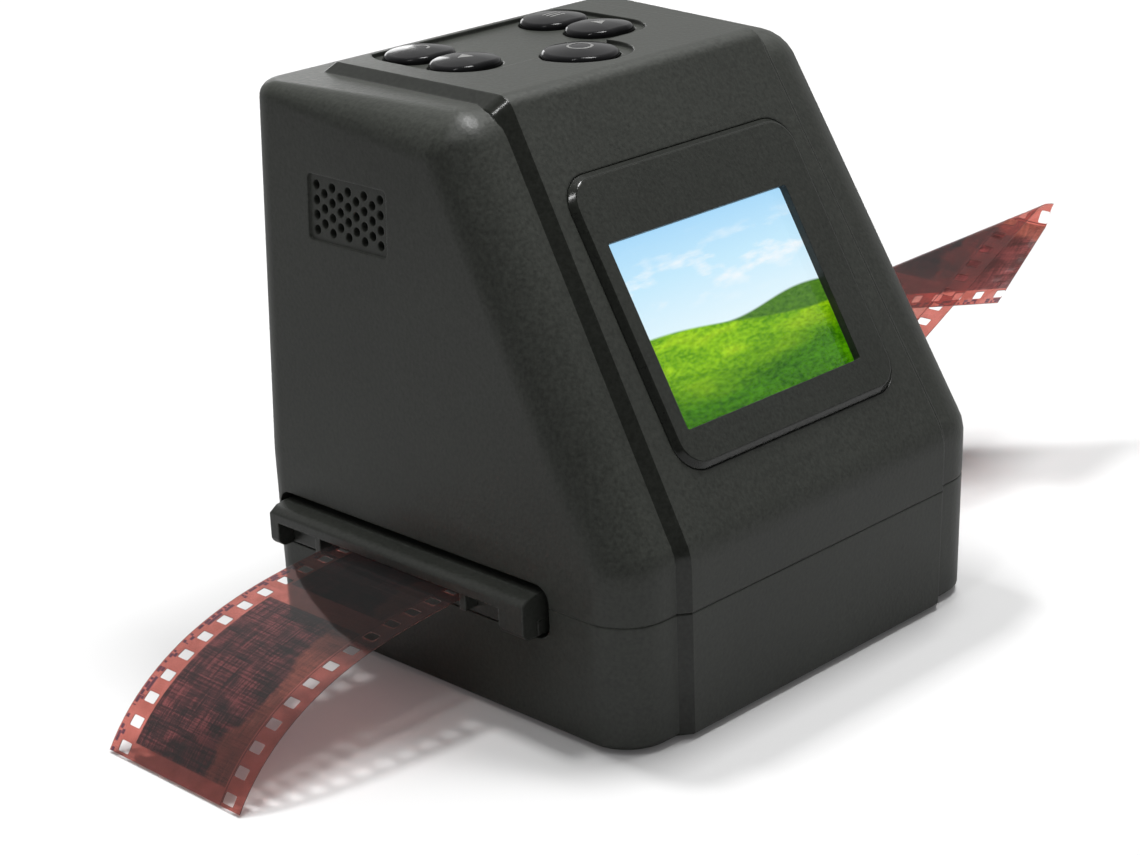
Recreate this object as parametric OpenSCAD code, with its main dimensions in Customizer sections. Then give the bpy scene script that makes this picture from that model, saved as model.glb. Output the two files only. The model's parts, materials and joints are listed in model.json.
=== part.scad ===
// Film negative scanner: a desk scanner for 35 mm film that slides through it from side to side.
// Millimetres. +Z is up, the display faces -Y, and the film runs along X. The origin is at floor
// level under the middle of the housing.

/* [Housing] */
// Width across the side walls at the bend of the front
body_w = 98; // [95:0.5:106]
// Depth from the front of the band to the rear wall
body_d = 94; // [93:0.5:102]
// Height from the underside to the top of the band
body_h = 104.5; // [103:0.5:114]
// Height above the underside of the bend in the front
bend_h = 33.8; // [32:0.2:36]
// Depth of the top, from the slope to the rear wall
top_l = 52.1; // [51:0.1:55]
// How far the front leans back from the bend to the underside
foot_setback = 0.5; // [0.1:0.1:1.5]
// Lean of the side walls above the bend, in degrees
side_lean = 2.5; // [1.5:0.1:3]
// How much narrower each side is at the underside
base_draft = 0.6; // [0.1:0.1:1.5]
// Thickness of the housing walls
wall = 2.2; // [1.9:0.1:2.6]
// Radius of the front and top edges of the side walls
edge_r = 9; // [8:0.5:11]
// Radius of the upright rear edges
rear_r = 6; // [5:0.5:8]
// Radius of the edge between the top and the rear wall
rear_top_r = 3.2; // [2.6:0.1:5]
// Bevel around the underside
base_bevel = 0.7; // [0.3:0.1:1]
// Height above the underside of the seam between the two shells
seam_h = 23; // [21:0.5:24.5]

/* [Band] */
// Distance from the edge of the band's face to the side of the housing
band_inset = 14.2; // [12:0.2:16]
// Height of the band above the side walls' surface
band_step = 1.6; // [1:0.1:2]
// Width of the bevel along each edge of the band
band_bevel = 2.2; // [1.4:0.1:3]
// Radius of the band at the bend
bend_r = 10; // [6:0.5:14]
// Radius of the band where the slope meets the top
crest_r = 4; // [2:0.5:6]
// Distance from the band's end on the top to the rear wall
band_stop = 7; // [6.8:0.1:8.5]
// Width of the bevel at that end
band_end_bevel = 1.1; // [0.8:0.1:2.2]

/* [Feet and screws] */
// Diameter of a rubber foot
foot_d = 9; // [7:0.5:11]
// Height of a foot below the underside
foot_h = 1; // [0.6:0.1:1.2]
// Depth of a foot's seat in the underside
foot_seat = 0.5; // [0.3:0.1:0.8]
// Distance from a foot's centre to the side and rear of the housing
foot_inset = 10; // [9:0.5:14]
// Distance from a front foot's centre to the front
foot_front = 24; // [23:0.5:30]
// Diameter of the screws that join the shells
screw_d = 3; // [2.5:0.1:3]
// Length of those screws
screw_l = 20; // [18:0.5:21]
// Height of their seats above the underside
screw_seat = 11; // [10:0.5:13]
// Distance from their centres to the side of the housing
screw_inset = 9.5; // [9:0.25:10]
// Distance from their centres to the front
screw_front = 11.5; // [11:0.1:12]
// Diameter of the small screws inside
pin_d = 2; // [1.6:0.1:2]
// Clearance of a screw in a through hole
hole_gap = 0.2; // [0.1:0.05:0.3]
// Clearance of a screw in its pilot hole
pilot_gap = 0.05; // [0.02:0.01:0.1]

/* [Display] */
// Width of the bezel
bezel_w = 58.6; // [56:0.2:60]
// Height of the bezel along the slope
bezel_l = 54; // [50:0.5:56]
// Distance of the bezel's centre up the slope from the bend
bezel_up = 39; // [37:0.5:41]
// Height of the bezel above the band
bezel_rise = 1.1; // [0.6:0.1:1.6]
// Depth of the bezel's seat in the band
bezel_seat = 0.5; // [0.3:0.1:0.7]
// Corner radius of the bezel
bezel_r = 6; // [4:0.5:9]
// Width of the window in the bezel
window_w = 46.3; // [44:0.1:47]
// Height of the window along the slope
window_l = 34; // [32:0.5:35]
// Distance of the window's centre to the left of the bezel's
window_left = 2.05; // [0:0.05:3]
// Distance of the window's centre below the bezel's
window_drop = 2.8; // [0:0.1:4]
// Overlap of the clear pane behind the edge of the window
pane_lap = 1.8; // [1:0.1:2]
// Thickness of the clear pane
pane_t = 0.6; // [0.4:0.1:0.8]
// Width of the display module
module_w = 60.3; // [58:0.1:60.5]
// Height of the display module along the slope
module_l = 42.7; // [40:0.1:44]
// Distance of the module's centre to the right of the window's
module_right = 2.6; // [1:0.1:3]
// Width of the clamp frame's rim beside the module
clamp_rim = 3.5; // [3.2:0.1:3.8]
// Thickness of the clamp frame
clamp_t = 1.2; // [1:0.1:1.6]
// Width of the clamp frame's bars behind the module
clamp_lap = 6; // [4:0.5:8]

/* [Keys] */
// Distance of the four outer keys' centres from the middle of their group
key_x = 17.2; // [16:0.1:17.5]
// How far the group of outer keys stands left of the middle
key_shift = 0.8; // [0:0.1:1]
// Distance from the rear keys' centres to the rear wall
key_rear = 15.4; // [15.4:0.1:16.5]
// Distance between the rear keys and the middle keys
key_pitch = 11.8; // [11.3:0.1:12]
// Distance from the middle keys to the round key in front
key_step = 10.9; // [10.4:0.1:11]
// Width of an outer key
key_w = 13.8; // [13:0.1:14]
// Depth of an outer key
key_l = 10.9; // [10:0.1:11]
// Diameter of the round key
key_ok_d = 14.2; // [13:0.1:14.4]
// Height of a key above the band
key_rise = 1; // [0.8:0.1:1.6]
// Radius of the keys' domed tops
key_dome_r = 30; // [24:1:40]
// Clearance around a key in its hole
key_gap = 0.3; // [0.25:0.05:0.4]
// How far a key can be pressed
key_travel = 0.8; // [0.5:0.1:0.9]
// Clearance under a key that is pressed right down
press_gap = 0.2; // [0.1:0.05:0.3]
// Depth of the recess around the keys
recess_t = 0.8; // [0.5:0.1:1.2]
// Margin of that recess beside the outer keys
recess_margin = 1.7; // [1.2:0.1:2.2]
// Margin of that recess around the round key
recess_ok_margin = 2.5; // [1.6:0.1:3]
// Distance from the recess to the end of the band
recess_stop = 2.4; // [2.2:0.1:3]
// Thickness of the flange that holds a key under the wall
flange_t = 0.9; // [0.7:0.1:1.1]
// How far the flange reaches past each side of the key
flange_lap = 1.2; // [0.8:0.1:1.4]
// Width of a key switch
switch_w = 6; // [5:0.1:6.5]
// Height of a key switch's case
switch_h = 1.5; // [1.2:0.1:1.6]
// Diameter of a switch's plunger
plunger_d = 3.4; // [3:0.1:3.6]

/* [Vent] */
// Diameter of a vent hole
vent_d = 1.7; // [1.2:0.1:1.8]
// Number of columns of vent holes
vent_cols = 9; // [5:2:11]
// Number of holes in a full column
vent_rows = 4; // [3:1:5]
// Distance between columns
vent_step = 2.07; // [2:0.01:2.2]
// Distance between holes in a column
vent_pitch = 2.7; // [2.6:0.05:3]
// Distance from the last column to the rear wall
vent_rear = 18; // [16:0.5:20]
// Distance from the top row to the top of the band
vent_top = 17.7; // [16:0.5:20]
// Depth of the recess around the vent holes
vent_recess_t = 0.45; // [0.3:0.05:0.8]
// Margin of that recess around the holes' centres
vent_margin = 1.9; // [1.5:0.1:2.5]

/* [Slot and film adapter] */
// Distance from the front to the slot
slot_front = 20; // [19.6:0.1:20.8]
// Distance from the slot to the rear of the housing
slot_rear = 4; // [3.8:0.1:4.6]
// Height of the slot's lower edge above the underside
slot_low = 16.7; // [16:0.1:17.2]
// Height of the slot
slot_h = 10; // [9.6:0.1:10.4]
// Corner radius of the slot
slot_r = 3; // [2:0.5:4]
// Distance from the slot's front end to the adapter
adapter_front = 2.2; // [1.8:0.1:2.6]
// Distance from the slot's rear end to the adapter
adapter_rear = 2; // [1.8:0.1:2.6]
// Height of the adapter
adapter_h = 7.8; // [7.4:0.1:8]
// Height of the adapter above the slot's lower edge
adapter_lift = 0.7; // [0.4:0.1:1]
// Height of the film above the adapter's underside
film_rise = 2.7; // [2.5:0.1:3]
// How far the adapter's ends stand out of the side walls
adapter_proud = 0.63; // [0.3:0.05:1]
// How far the hoods reach past the adapter's ends
hood_reach = 3.6; // [3:0.1:4.5]
// Drop of a hood's top towards its lip
hood_fall = 1.2; // [0.6:0.1:1.8]
// Thickness of a hood's lip and roof
hood_t = 1.2; // [1:0.1:1.6]
// Gap between the lip and the film
lip_gap = 2.1; // [1.8:0.1:2.4]
// Thickness of a hood's front end wall
hood_front_t = 5.8; // [5:0.1:6.2]
// Thickness of a hood's rear end wall
hood_rear_t = 2.2; // [2:0.1:3]
// Thickness of the ribs beside the film
rib_t = 1.4; // [1:0.1:1.8]
// Distance from the film's edge to the ribs
rib_gap = 0.8; // [0.6:0.1:1.2]
// How far the ribs hang below the film
rib_hang = 1.3; // [1:0.1:1.8]
// Side clearance of the film in its channel
channel_gap = 0.4; // [0.2:0.1:0.5]
// Clearance below the film
channel_low = 0.3; // [0.25:0.05:0.4]
// Clearance above the film
channel_high = 0.6; // [0.4:0.1:0.7]
// Width of the picture aperture along the film
aperture_w = 37; // [36:0.5:39]
// Width of the picture aperture across the film
aperture_l = 25; // [24:0.5:27]
// Extra width of the opening above the film
aperture_flare = 8; // [4:0.5:9]
// Diameter of the pins that line up the adapter's halves
locate_d = 3; // [2:0.5:3.5]

/* [Film] */
// Width of the film
film_w = 35; // [34.8:0.1:35.2]
// Thickness of the film
film_t = 0.15; // [0.12:0.01:0.18]
// Distance of the film's middle behind the adapter's middle
film_back = 1.4; // [1:0.1:1.8]
// Length of the tail that hangs out to the left
tail_l = 57.2; // [50:0.2:57.4]
// Slope of that tail where it leaves the adapter, in degrees
tail_dip = 4; // [1:0.5:4]
// Growth of the slope along the tail, in degrees per square millimetre
tail_bend = 0.0168; // [0.012:0.0002:0.0168]
// Length of the tail that rises to the right
curl_l = 79.9; // [77:0.1:84]
// Slope of that tail, in degrees
curl_rise = 25.4; // [20:0.2:28]
// Bend radius where it starts to rise
curl_r = 18; // [14:0.5:24]
// Distance along it from its bend to where the rear edge rolls under
roll_start = 28.9; // [27:0.1:32]
// Angle of the roll across the strip, in degrees
roll_skew = 37.6; // [36:0.2:42]
// Radius of the roll
roll_r = 2.48; // [2.2:0.02:3]
// Angle of the roll, in degrees
roll_turn = 190; // [170:1:190]

/* [Optics] */
// Thickness of the film stage
stage_t = 1.8; // [1.4:0.1:2.2]
// Clearance of the adapter above the stage
glide_gap = 0.15; // [0.1:0.05:0.2]
// Thickness of the diffuser
diffuser_t = 1.5; // [1:0.1:2]
// Width of the light box along the film
light_w = 44; // [42:0.5:46]
// Width of the light box across the film
light_l = 32; // [30:0.5:34]
// Thickness of the light box's walls
light_wall = 1.5; // [1:0.1:2]
// Height of the posts under the lamp board
lamp_post_h = 1.5; // [1:0.1:2]
// Thickness of the lamp board
lamp_board_t = 1.2; // [1:0.1:1.6]
// Clearance of the upper guide above the adapter
guide_gap = 0.6; // [0.5:0.1:0.8]
// Thickness of the upper guide
guide_t = 1.8; // [1.6:0.1:2.2]
// Width of the camera bracket's flange
bracket_w = 56; // [54:0.5:60]
// Depth of the camera bracket's flange
bracket_l = 46; // [44:0.5:48]
// Thickness of the camera bracket's flange
bracket_t = 2; // [1.6:0.1:2.4]
// Distance from the guide to the camera bracket's top
bracket_h = 29.2; // [28:0.2:30]
// Thickness of the camera bracket's top plate
lens_plate_t = 4; // [3:0.2:5]
// Diameter of the lens barrel
lens_d = 14; // [12:0.5:16]
// Length of the lens barrel
lens_l = 15; // [13:0.5:16]
// Height of the lens barrel above the bracket
lens_proud = 1.2; // [0.8:0.1:2]
// Width of the square sensor board
sensor_board_w = 36; // [35:0.5:38]
// Height of the posts under the sensor board
sensor_post_h = 6; // [5.5:0.1:7]

/* [Boards] */
// Thickness of the circuit boards
board_t = 1.6; // [1.2:0.1:1.8]
// Width of the main board
main_w = 76; // [74:0.5:78]
// Distance from the main board's front edge to its front screws
main_lap = 5.3; // [4:0.1:6]
// Height of the posts under the main board
main_post_h = 11.2; // [10.5:0.1:12]
// Gap between the main board and the rear wall
main_gap = 0.6; // [0.4:0.1:1]
// Width of the key board
key_board_w = 62; // [61.5:0.5:64]
// Depth of the key board
key_board_l = 40; // [39.5:0.5:41]
// Distance from the key board to the rear wall's inside
key_board_gap = 4; // [3.6:0.1:4.4]
// Thickness of the flat ribbon cables
ribbon_t = 0.3; // [0.2:0.05:0.4]

/* [Hidden] */

$fn = 48;
// Facets of a full turn on the blended housing shapes
shell_fn = 32;
// Small overlap that joins the shapes of one piece
join = 0.4;
// Cut that runs past a surface
past = 2;
// Gap between pieces that fit together by hand
fit_gap = 0.1;
// Degrees in one radian
radian = 180/PI;

// Heights above the floor
base_z = foot_h;
bend_z = base_z + bend_h;
top_z = base_z + body_h;
seam_z = base_z + seam_h;

top_setback = body_d - top_l;
// Side outline of the band, as [y, z] corners counted from the front
foot_corner = [foot_setback, base_z];
bend_corner = [0, bend_z];
crest_corner = [top_setback, top_z];
rear_corner = [body_d, top_z];

// Inward unit normal of the edge from a to b
function inward(a, b) = let(d = (b - a)/norm(b - a)) [d.y, -d.x];
front_in = inward(foot_corner, bend_corner);
slope_in = inward(bend_corner, crest_corner);
top_in = [0, -1];
rear_in = [-1, 0];

// Point that lies da inside edge a and db inside edge b, near their common corner p
function inset(p, a, b, da, db) =
    p + [da*b.y - db*a.y, db*a.x - da*b.x]/(a.x*b.y - a.y*b.x);

// Half width of the side walls at height z
function half_w(z) =
    body_w/2 - (z < bend_z ? base_draft*(bend_z - z)/bend_h : (z - bend_z)*tan(side_lean));

// Slope of the front from the vertical, and the wall's thickness under the band
slope = atan2(top_setback, body_h - bend_h);
band_wall = band_step + wall;
cavity_top = top_z - band_wall;
cavity_rear = body_d - wall;
cavity_half = half_w(base_z) - wall;
floor_z = base_z + wall;

// The stack that carries the film, from the slot outwards
slot_z = base_z + slot_low;
slot_l = body_d - slot_front - slot_rear;
adapter_y = slot_front + adapter_front;
adapter_l = slot_l - adapter_front - adapter_rear;
adapter_z = slot_z + adapter_lift;
adapter_top = adapter_z + adapter_h;
adapter_half = half_w(adapter_z) + adapter_proud;
adapter_mid = adapter_y + adapter_l/2;
film_z = adapter_z + film_rise;
film_y = adapter_mid + film_back;

// Below it: the stage, the diffuser and the lamps
stage_z = adapter_z - glide_gap - stage_t;
diffuser_z = stage_z - diffuser_t;
lamp_board_z = floor_z + lamp_post_h;
lamp_top = lamp_board_z + lamp_board_t;

// Above it: the guide, the camera and the main board
guide_z = adapter_top + guide_gap;
guide_top = guide_z + guide_t;
bracket_top = guide_top + bracket_h;
sensor_z = bracket_top + sensor_post_h;
main_z = bracket_top + main_post_h;
main_top = main_z + board_t;
lens_plate_w = 60;
lens_plate_l = 40;
plate_margin = 4;
main_post_pitch = 24;
main_post_y = film_y + lens_plate_l/2 - plate_margin;
main_rear = cavity_rear - main_gap;
main_front = main_post_y - main_post_pitch - main_lap;
main_l = main_rear - main_front;
main_y = main_rear - main_l/2;

// Distance y from the front, so that every piece shares it
module from_front() translate([0, -body_d/2, 0]) children();

// Frame on the slope: x across, y up the slope from the bend, z outward
module on_slope() from_front() translate([0, 0, bend_z]) rotate([90 - slope, 0, 0]) children();

// Frame on the left wall at height z: x outward is negative, z up the wall
module on_left_wall(z) from_front() translate([-half_w(z), 0, z]) rotate([0, side_lean, 0]) children();

// Extrudes a [y, z] outline along x
module across(w) rotate([90, 0, 90]) linear_extrude(w, center = true) children();

// Extrudes an [x, z] outline along y, from y = 0
module along(l) rotate([90, 0, 0]) translate([0, 0, -l]) linear_extrude(l) children();

module block(size, at) translate(at) translate([-size.x/2, -size.y/2, 0]) cube(size);

module post(r, h, at) translate(at) cylinder(r = r, h = h);

module rounded(size, r) {
    square([size.x - 2*r, size.y], center = true);
    square([size.x, size.y - 2*r], center = true);
    for (x = [-1, 1], y = [-1, 1])
        translate([x*(size.x/2 - r), y*(size.y/2 - r)]) circle(r = r);
}

module plate(size, r, at) translate(at) linear_extrude(size.z) rounded(size, r);

// ---- Housing ----

// Centres of the rounded corners of the side shells, as [y, z]
bend_ball = inset(bend_corner, front_in, slope_in, band_step + edge_r, band_step + edge_r);
crest_ball = inset(crest_corner, slope_in, top_in, band_step + edge_r, band_step + edge_r);
rear_edge = inset(rear_corner, top_in, rear_in, band_step + rear_top_r, rear_r);

module corner_balls(c, r, thin)
    for (side = [-1, 1]) translate([side*(half_w(c.y) - r), c.x, c.y]) sphere(r = r - thin, $fn = shell_fn);

// Rear ends of the top: discs whose rims follow the rounded edge
module rear_tops(thin) for (side = [-1, 1], i = [0:shell_fn/4]) let(a = 360*i/shell_fn)
    translate([side*(half_w(rear_edge.y) - rear_r), rear_edge.x,
            rear_edge.y + (rear_top_r - thin)*sin(a) - join])
        cylinder(r = rear_r - rear_top_r + (rear_top_r - thin)*cos(a), h = join, $fn = shell_fn);

module corner_feet(y, r, thin, low)
    for (side = [-1, 1]) translate([side*(half_w(base_z) - r), y, low])
        cylinder(r1 = r - thin - base_bevel, r2 = r - thin, h = base_bevel, $fn = shell_fn);

// The housing without its band, shrunk by thin and standing at height low
module shell_form(thin, low) from_front() hull() {
    corner_feet(foot_setback + band_step + edge_r, edge_r, thin, low);
    corner_feet(body_d - rear_r, rear_r, thin, low);
    corner_balls(bend_ball, edge_r, thin);
    corner_balls(crest_ball, edge_r, thin);
    rear_tops(thin);
    corner_balls([body_d - rear_r, bend_z], rear_r, thin);
}

// Half length of the band at height z, at depth below its face
function band_half(z, depth) = half_w(z) - band_inset + depth*band_bevel/band_step;

module rod(c, r, depth)
    translate([0, c.x, c.y]) rotate([0, 90, 0])
        cylinder(r = r, h = 2*band_half(c.y, depth), center = true, $fn = shell_fn);

// The raised band, with bevelled edges that run into the shells
module band_form() from_front() hull() for (depth = [0, band_step + join]) {
    rod([foot_setback + depth + base_bevel, base_z + base_bevel], base_bevel, depth);
    rod(inset(bend_corner, front_in, slope_in, depth + bend_r, depth + bend_r), bend_r, depth);
    rod(inset(crest_corner, slope_in, top_in, depth + crest_r, depth + crest_r), crest_r, depth);
    rod([body_d - band_stop - band_end_bevel - base_bevel + depth*band_end_bevel/band_step,
         top_z - depth - base_bevel], base_bevel, depth);
}

module housing_form() difference() {
    union() {
        shell_form(0, base_z);
        band_form();
    }
    shell_form(wall, floor_z);
}

// Everything from height low to height high
module layer(low, high) block([2*body_w, 2*body_d, high - low], [0, 0, low]);

// Positions of paired features, mirrored to both sides
module both_sides(x) for (side = [-1, 1]) translate([side*x, 0, 0]) children();

// Size of a screw's head, as shares of its diameter
head_d_share = 1.9;
head_h_share = 0.6;
screw_x = body_w/2 - screw_inset;
screw_head_d = head_d_share*screw_d;
boss_wall = 1.6;
boss_r = screw_head_d/2 + hole_gap + boss_wall;
pilot_wall = 2;
pilot_boss_r = screw_d/2 + pilot_wall;

module slot_cut() from_front() both_sides(half_w(slot_z)) across(2*(wall + past))
    translate([slot_front + slot_l/2, slot_z + slot_h/2]) rounded([slot_l, slot_h], slot_r);

tab_x = 33;
tab_w = 7;
tab_t = 1.6;
tab_y = cavity_rear - fit_gap;
tab_root = 8;
tab_h = 5;
tab_top = seam_z + tab_h;
catch_z = seam_z + 2;
catch_l = 0.9;
catch_gap = 0.4;

// Side view of a snap tab: its foot grows out of the rear wall and its catch points back
module snap_tab() across(tab_w) polygon([
    [cavity_rear + join, seam_z - tab_root], [cavity_rear + join, seam_z - join], [tab_y, seam_z],
    [tab_y, catch_z], [cavity_rear + catch_l, catch_z], [tab_y, tab_top],
    [tab_y - tab_t, tab_top], [tab_y - tab_t, seam_z - tab_root + tab_t + join]
]);

ledge_w = 40;
ledge_l = 2.4;
ledge_h = 2;
stage_post_r = 2.6;
stage_screw_in = 8.2;
stage_screw_x = cavity_half - stage_screw_in;
// The stage and the guide are screwed down just in front of the slot
slot_clear = 1.3;
stage_screw_y = slot_front - slot_clear;

module lower_housing() color("#2e2f2d") {
    difference() {
        union() {
            intersection() {
                housing_form();
                layer(0, seam_z);
            }
            from_front() both_sides(screw_x)
                post(boss_r, seam_z - floor_z + join, [0, screw_front, floor_z - join]);
            from_front() both_sides(stage_screw_x)
                post(stage_post_r, stage_z - floor_z + join, [0, stage_screw_y, floor_z - join]);
            from_front() for (side = [-1, 1])
                post(stage_post_r, lamp_post_h + join, [side*lamp_screw_x, film_y, floor_z - join]);
            from_front() block([ledge_w, ledge_l + join, ledge_h],
                [0, cavity_rear - (ledge_l - join)/2, stage_z - ledge_h]);
            from_front() both_sides(tab_x) snap_tab();
        }
        slot_cut();
        foot_seats();
        from_front() both_sides(screw_x) {
            post(screw_head_d/2 + hole_gap, screw_seat + past, [0, screw_front, base_z - past]);
            post(screw_d/2 + hole_gap, body_h, [0, screw_front, base_z]);
        }
        from_front() both_sides(stage_screw_x)
            post(pin_d/2 + pilot_gap, pin_l + past, [0, stage_screw_y, stage_z + stage_t - pin_l - join]);
        from_front() both_sides(lamp_screw_x)
            post(pin_d/2 + pilot_gap, pin_l, [0, film_y, floor_z - join]);
    }
}

foot_x = body_w/2 - foot_inset;
foot_places = [for (x = [-foot_x, foot_x], y = [foot_front, body_d - foot_inset]) [x, y]];

module foot_seats() from_front() for (p = foot_places)
    post(foot_d/2 + fit_gap, foot_seat + past, [p.x, p.y, base_z - past]);

module rubber_feet() color("#1c1c1c") from_front() for (p = foot_places)
    post(foot_d/2, foot_h + foot_seat, [p.x, p.y, 0]);

// Screw with a cross recess; its head stands on the plane z = 0
module screw(d, l) {
    translate([0, 0, -l]) cylinder(d = d, h = l);
    difference() {
        cylinder(d = head_d_share*d, h = head_h_share*d);
        for (a = [0, 90]) rotate(a) block([d, d/4, d], [0, 0, head_h_share*d/2]);
    }
}

module housing_screws() color("#8f9194") from_front() both_sides(screw_x)
    translate([0, screw_front, base_z + screw_seat]) rotate([180, 0, 0])
        screw(screw_d, screw_l);

// Upper shell

guide_ledge_w = 9;
guide_ledge_l = 6.5;
guide_ledge_h = 4.5;
guide_wall_x = half_w(guide_z) - wall;
guide_screw_in = 5.6;
guide_screw_x = guide_wall_x - guide_screw_in;
guide_screw_y = stage_screw_y;
rear_rib_h = 1.4;

module upper_housing() color("#2f302e") {
    difference() {
        union() {
            intersection() {
                housing_form();
                layer(seam_z, top_z + past);
            }
            upper_screw_bosses();
            guide_ledges();
            key_posts();
        }
        slot_cut();
        from_front() both_sides(screw_x)
            post(screw_d/2 + pilot_gap, screw_l, [0, screw_front, base_z + screw_seat + join]);
        from_front() both_sides(guide_screw_x)
            post(pin_d/2 + pilot_gap, pin_l, [0, guide_screw_y, guide_z]);
        from_front() for (p = key_post_places)
            post(pin_d/2 + pilot_gap, pin_l, [p.x, p.y, key_board_z]);
        display_seat();
        key_recess();
        key_holes();
        vent();
        socket_openings();
        from_front() both_sides(tab_x)
            block([tab_w + 2*catch_gap, catch_l + catch_gap + join, tab_top - catch_z + 2*catch_gap],
                [0, cavity_rear + (catch_l + catch_gap - join)/2, catch_z - catch_gap]);
    }
}

// Bosses over the joining screws, cut off inside the slope's wall
module upper_screw_bosses() difference() {
    from_front() both_sides(screw_x) post(pilot_boss_r, body_h/2, [0, screw_front, seam_z]);
    on_slope() translate([0, 0, body_w/2 - band_step - wall/2]) cube(body_w, center = true);
    on_slope() translate([0, body_h, 0]) cube([body_w, body_h, body_w], center = true);
}

// Ledges that carry the upper guide: two on the side walls and a pair of ribs at the rear
module guide_ledges() from_front() {
    both_sides(guide_wall_x + join - guide_ledge_w/2)
        block([guide_ledge_w, guide_ledge_l, guide_ledge_h], [0, guide_screw_y, guide_top]);
    for (z = [guide_z - fit_gap - rear_rib_h, guide_top + fit_gap])
        block([ledge_w, ledge_l + join, rear_rib_h], [0, cavity_rear - (ledge_l - join)/2, z]);
}

// Display cut-outs: the bezel's seat, the pane's opening and the module's pocket
window_x = -window_left;
window_up = bezel_up - window_drop;
module_x = window_x + module_right;
pane_size = [window_w + 2*pane_lap, window_l + 2*pane_lap];
pane_r = 1;
pane_back = bezel_seat + pane_t;
clamp_gap = 0.05;
clamp_z = -band_wall - clamp_gap - clamp_t;

module display_seat() on_slope() {
    translate([0, bezel_up, -bezel_seat]) linear_extrude(bezel_seat + past)
        rounded([bezel_w + 2*fit_gap, bezel_l + 2*fit_gap], bezel_r);
    plate([pane_size.x + 2*fit_gap, pane_size.y + 2*fit_gap, band_wall], pane_r,
        [window_x, window_up, -band_wall]);
    block([module_w + 2*fit_gap, module_l + 2*fit_gap, band_wall],
        [module_x, window_up, -band_wall - pane_back]);
    for (p = clamp_screws) post(pin_d/2 + pilot_gap, clamp_pin_l, [p.x, p.y, clamp_z]);
}

clamp_pin_l = 3.5;
clamp_ear = 1;
clamp_screw_in = 4;
clamp_screw_x = (module_w + clamp_rim + clamp_ear)/2;
clamp_screw_y = module_l/2 - clamp_screw_in;
clamp_screws = [for (x = [-1, 1], y = [-1, 1]) [module_x + x*clamp_screw_x, window_up + y*clamp_screw_y]];
plate_r = 3;

module display_bezel() color("#313230") on_slope() difference() {
    hull() {
        translate([0, bezel_up, -bezel_seat]) linear_extrude(bezel_seat)
            rounded([bezel_w, bezel_l], bezel_r);
        translate([0, bezel_up, 0]) linear_extrude(bezel_rise)
            rounded([bezel_w - 2*bezel_rise, bezel_l - 2*bezel_rise], bezel_r - bezel_rise);
    }
    block([window_w, window_l, bezel_rise + bezel_seat + 2*past], [window_x, window_up, -bezel_seat - past]);
}

module display_window() color("#c8d8e0", 0.4) on_slope()
    plate([pane_size.x, pane_size.y, pane_t], pane_r, [window_x, window_up, -pane_back]);

module display_module() color("#bcd8ee") on_slope()
    block([module_w, module_l, band_wall - pane_back], [module_x, window_up, -band_wall]);

module display_clamp() color("#3a3a3a") on_slope() difference() {
    plate([module_w + 2*clamp_rim + 2*clamp_ear, module_l + 2*clamp_rim, clamp_t], plate_r,
        [module_x, window_up, clamp_z]);
    block([module_w - 2*clamp_lap, module_l - 2*clamp_lap, body_w],
        [module_x, window_up, clamp_z - body_w/2]);
    for (p = clamp_screws) post(pin_d/2 + hole_gap, body_w, [p.x, p.y, clamp_z - body_w/2]);
}

// ---- Keys ----

key_y = body_d - key_rear;
key_mid_y = key_y - key_pitch;
key_ok_y = key_mid_y - key_step;
key_places = concat([for (y = [key_y, key_mid_y], side = [-1, 1]) [side*key_x - key_shift, y]],
    [[0, key_ok_y]]);

module oval(w, l) {
    for (side = [-1, 1]) translate([side*(w - l)/2, 0]) circle(d = l);
    square([max(w - l, 0.01), l], center = true);
}

// Outline of the key at place i, grown by gap
module key_outline(i, gap) translate(key_places[i])
    if (i < 4) oval(key_w + 2*gap, key_l + 2*gap);
    else circle(d = key_ok_d + 2*gap);

recess_rear = body_d - band_stop - recess_stop;
recess_r = key_w/2 + recess_margin;

module key_recess() from_front() translate([0, 0, top_z - recess_t]) linear_extrude(past + recess_t)
    intersection() {
        union() {
            for (i = [0:3]) translate(key_places[i]) circle(r = recess_r);
            translate(key_places[4]) circle(d = key_ok_d + 2*recess_ok_margin);
            translate([-key_shift, key_y - key_pitch/2]) {
                square([2*key_x, key_pitch + 2*recess_r], center = true);
                square([2*(key_x + recess_r), key_pitch], center = true);
            }
        }
        translate([0, recess_rear - body_d/2]) square([body_w, body_d], center = true);
    }

module key_holes() from_front() translate([0, 0, cavity_top - past]) linear_extrude(band_wall + 2*past)
    for (i = [0:4]) key_outline(i, key_gap);

flange_z = cavity_top - fit_gap - flange_t;
key_post_h = fit_gap + flange_t + key_travel + press_gap + switch_h;
key_board_top = cavity_top - key_post_h;
key_board_z = key_board_top - board_t;
switch_top = key_board_top + switch_h;
key_board_y = cavity_rear - key_board_gap - key_board_l/2;
key_post_r = 2.2;
// Distance of the small screws from the edges of what they hold
pin_in = 3;
key_post_places = [for (x = [-1, 1], y = [-1, 1])
    [x*(key_board_w/2 - pin_in), key_board_y + y*(key_board_l/2 - pin_in)]];

module key(i) color("#141414") from_front() {
    intersection() {
        translate([0, 0, flange_z]) linear_extrude(body_h) key_outline(i, 0);
        translate([key_places[i].x, key_places[i].y, top_z + key_rise - key_dome_r])
            sphere(r = key_dome_r, $fn = 96);
    }
    block([(i < 4 ? key_w : key_ok_d) + 2*flange_lap, switch_w, flange_t],
        [key_places[i].x, key_places[i].y, flange_z]);
}

plunger_gap = 0.05;
plunger_l = flange_z - switch_top + switch_h - key_travel - press_gap/2;

module plunger(i) color("#3a2a1a") from_front()
    post(plunger_d/2, plunger_l, [key_places[i].x, key_places[i].y, flange_z - plunger_l]);

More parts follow.
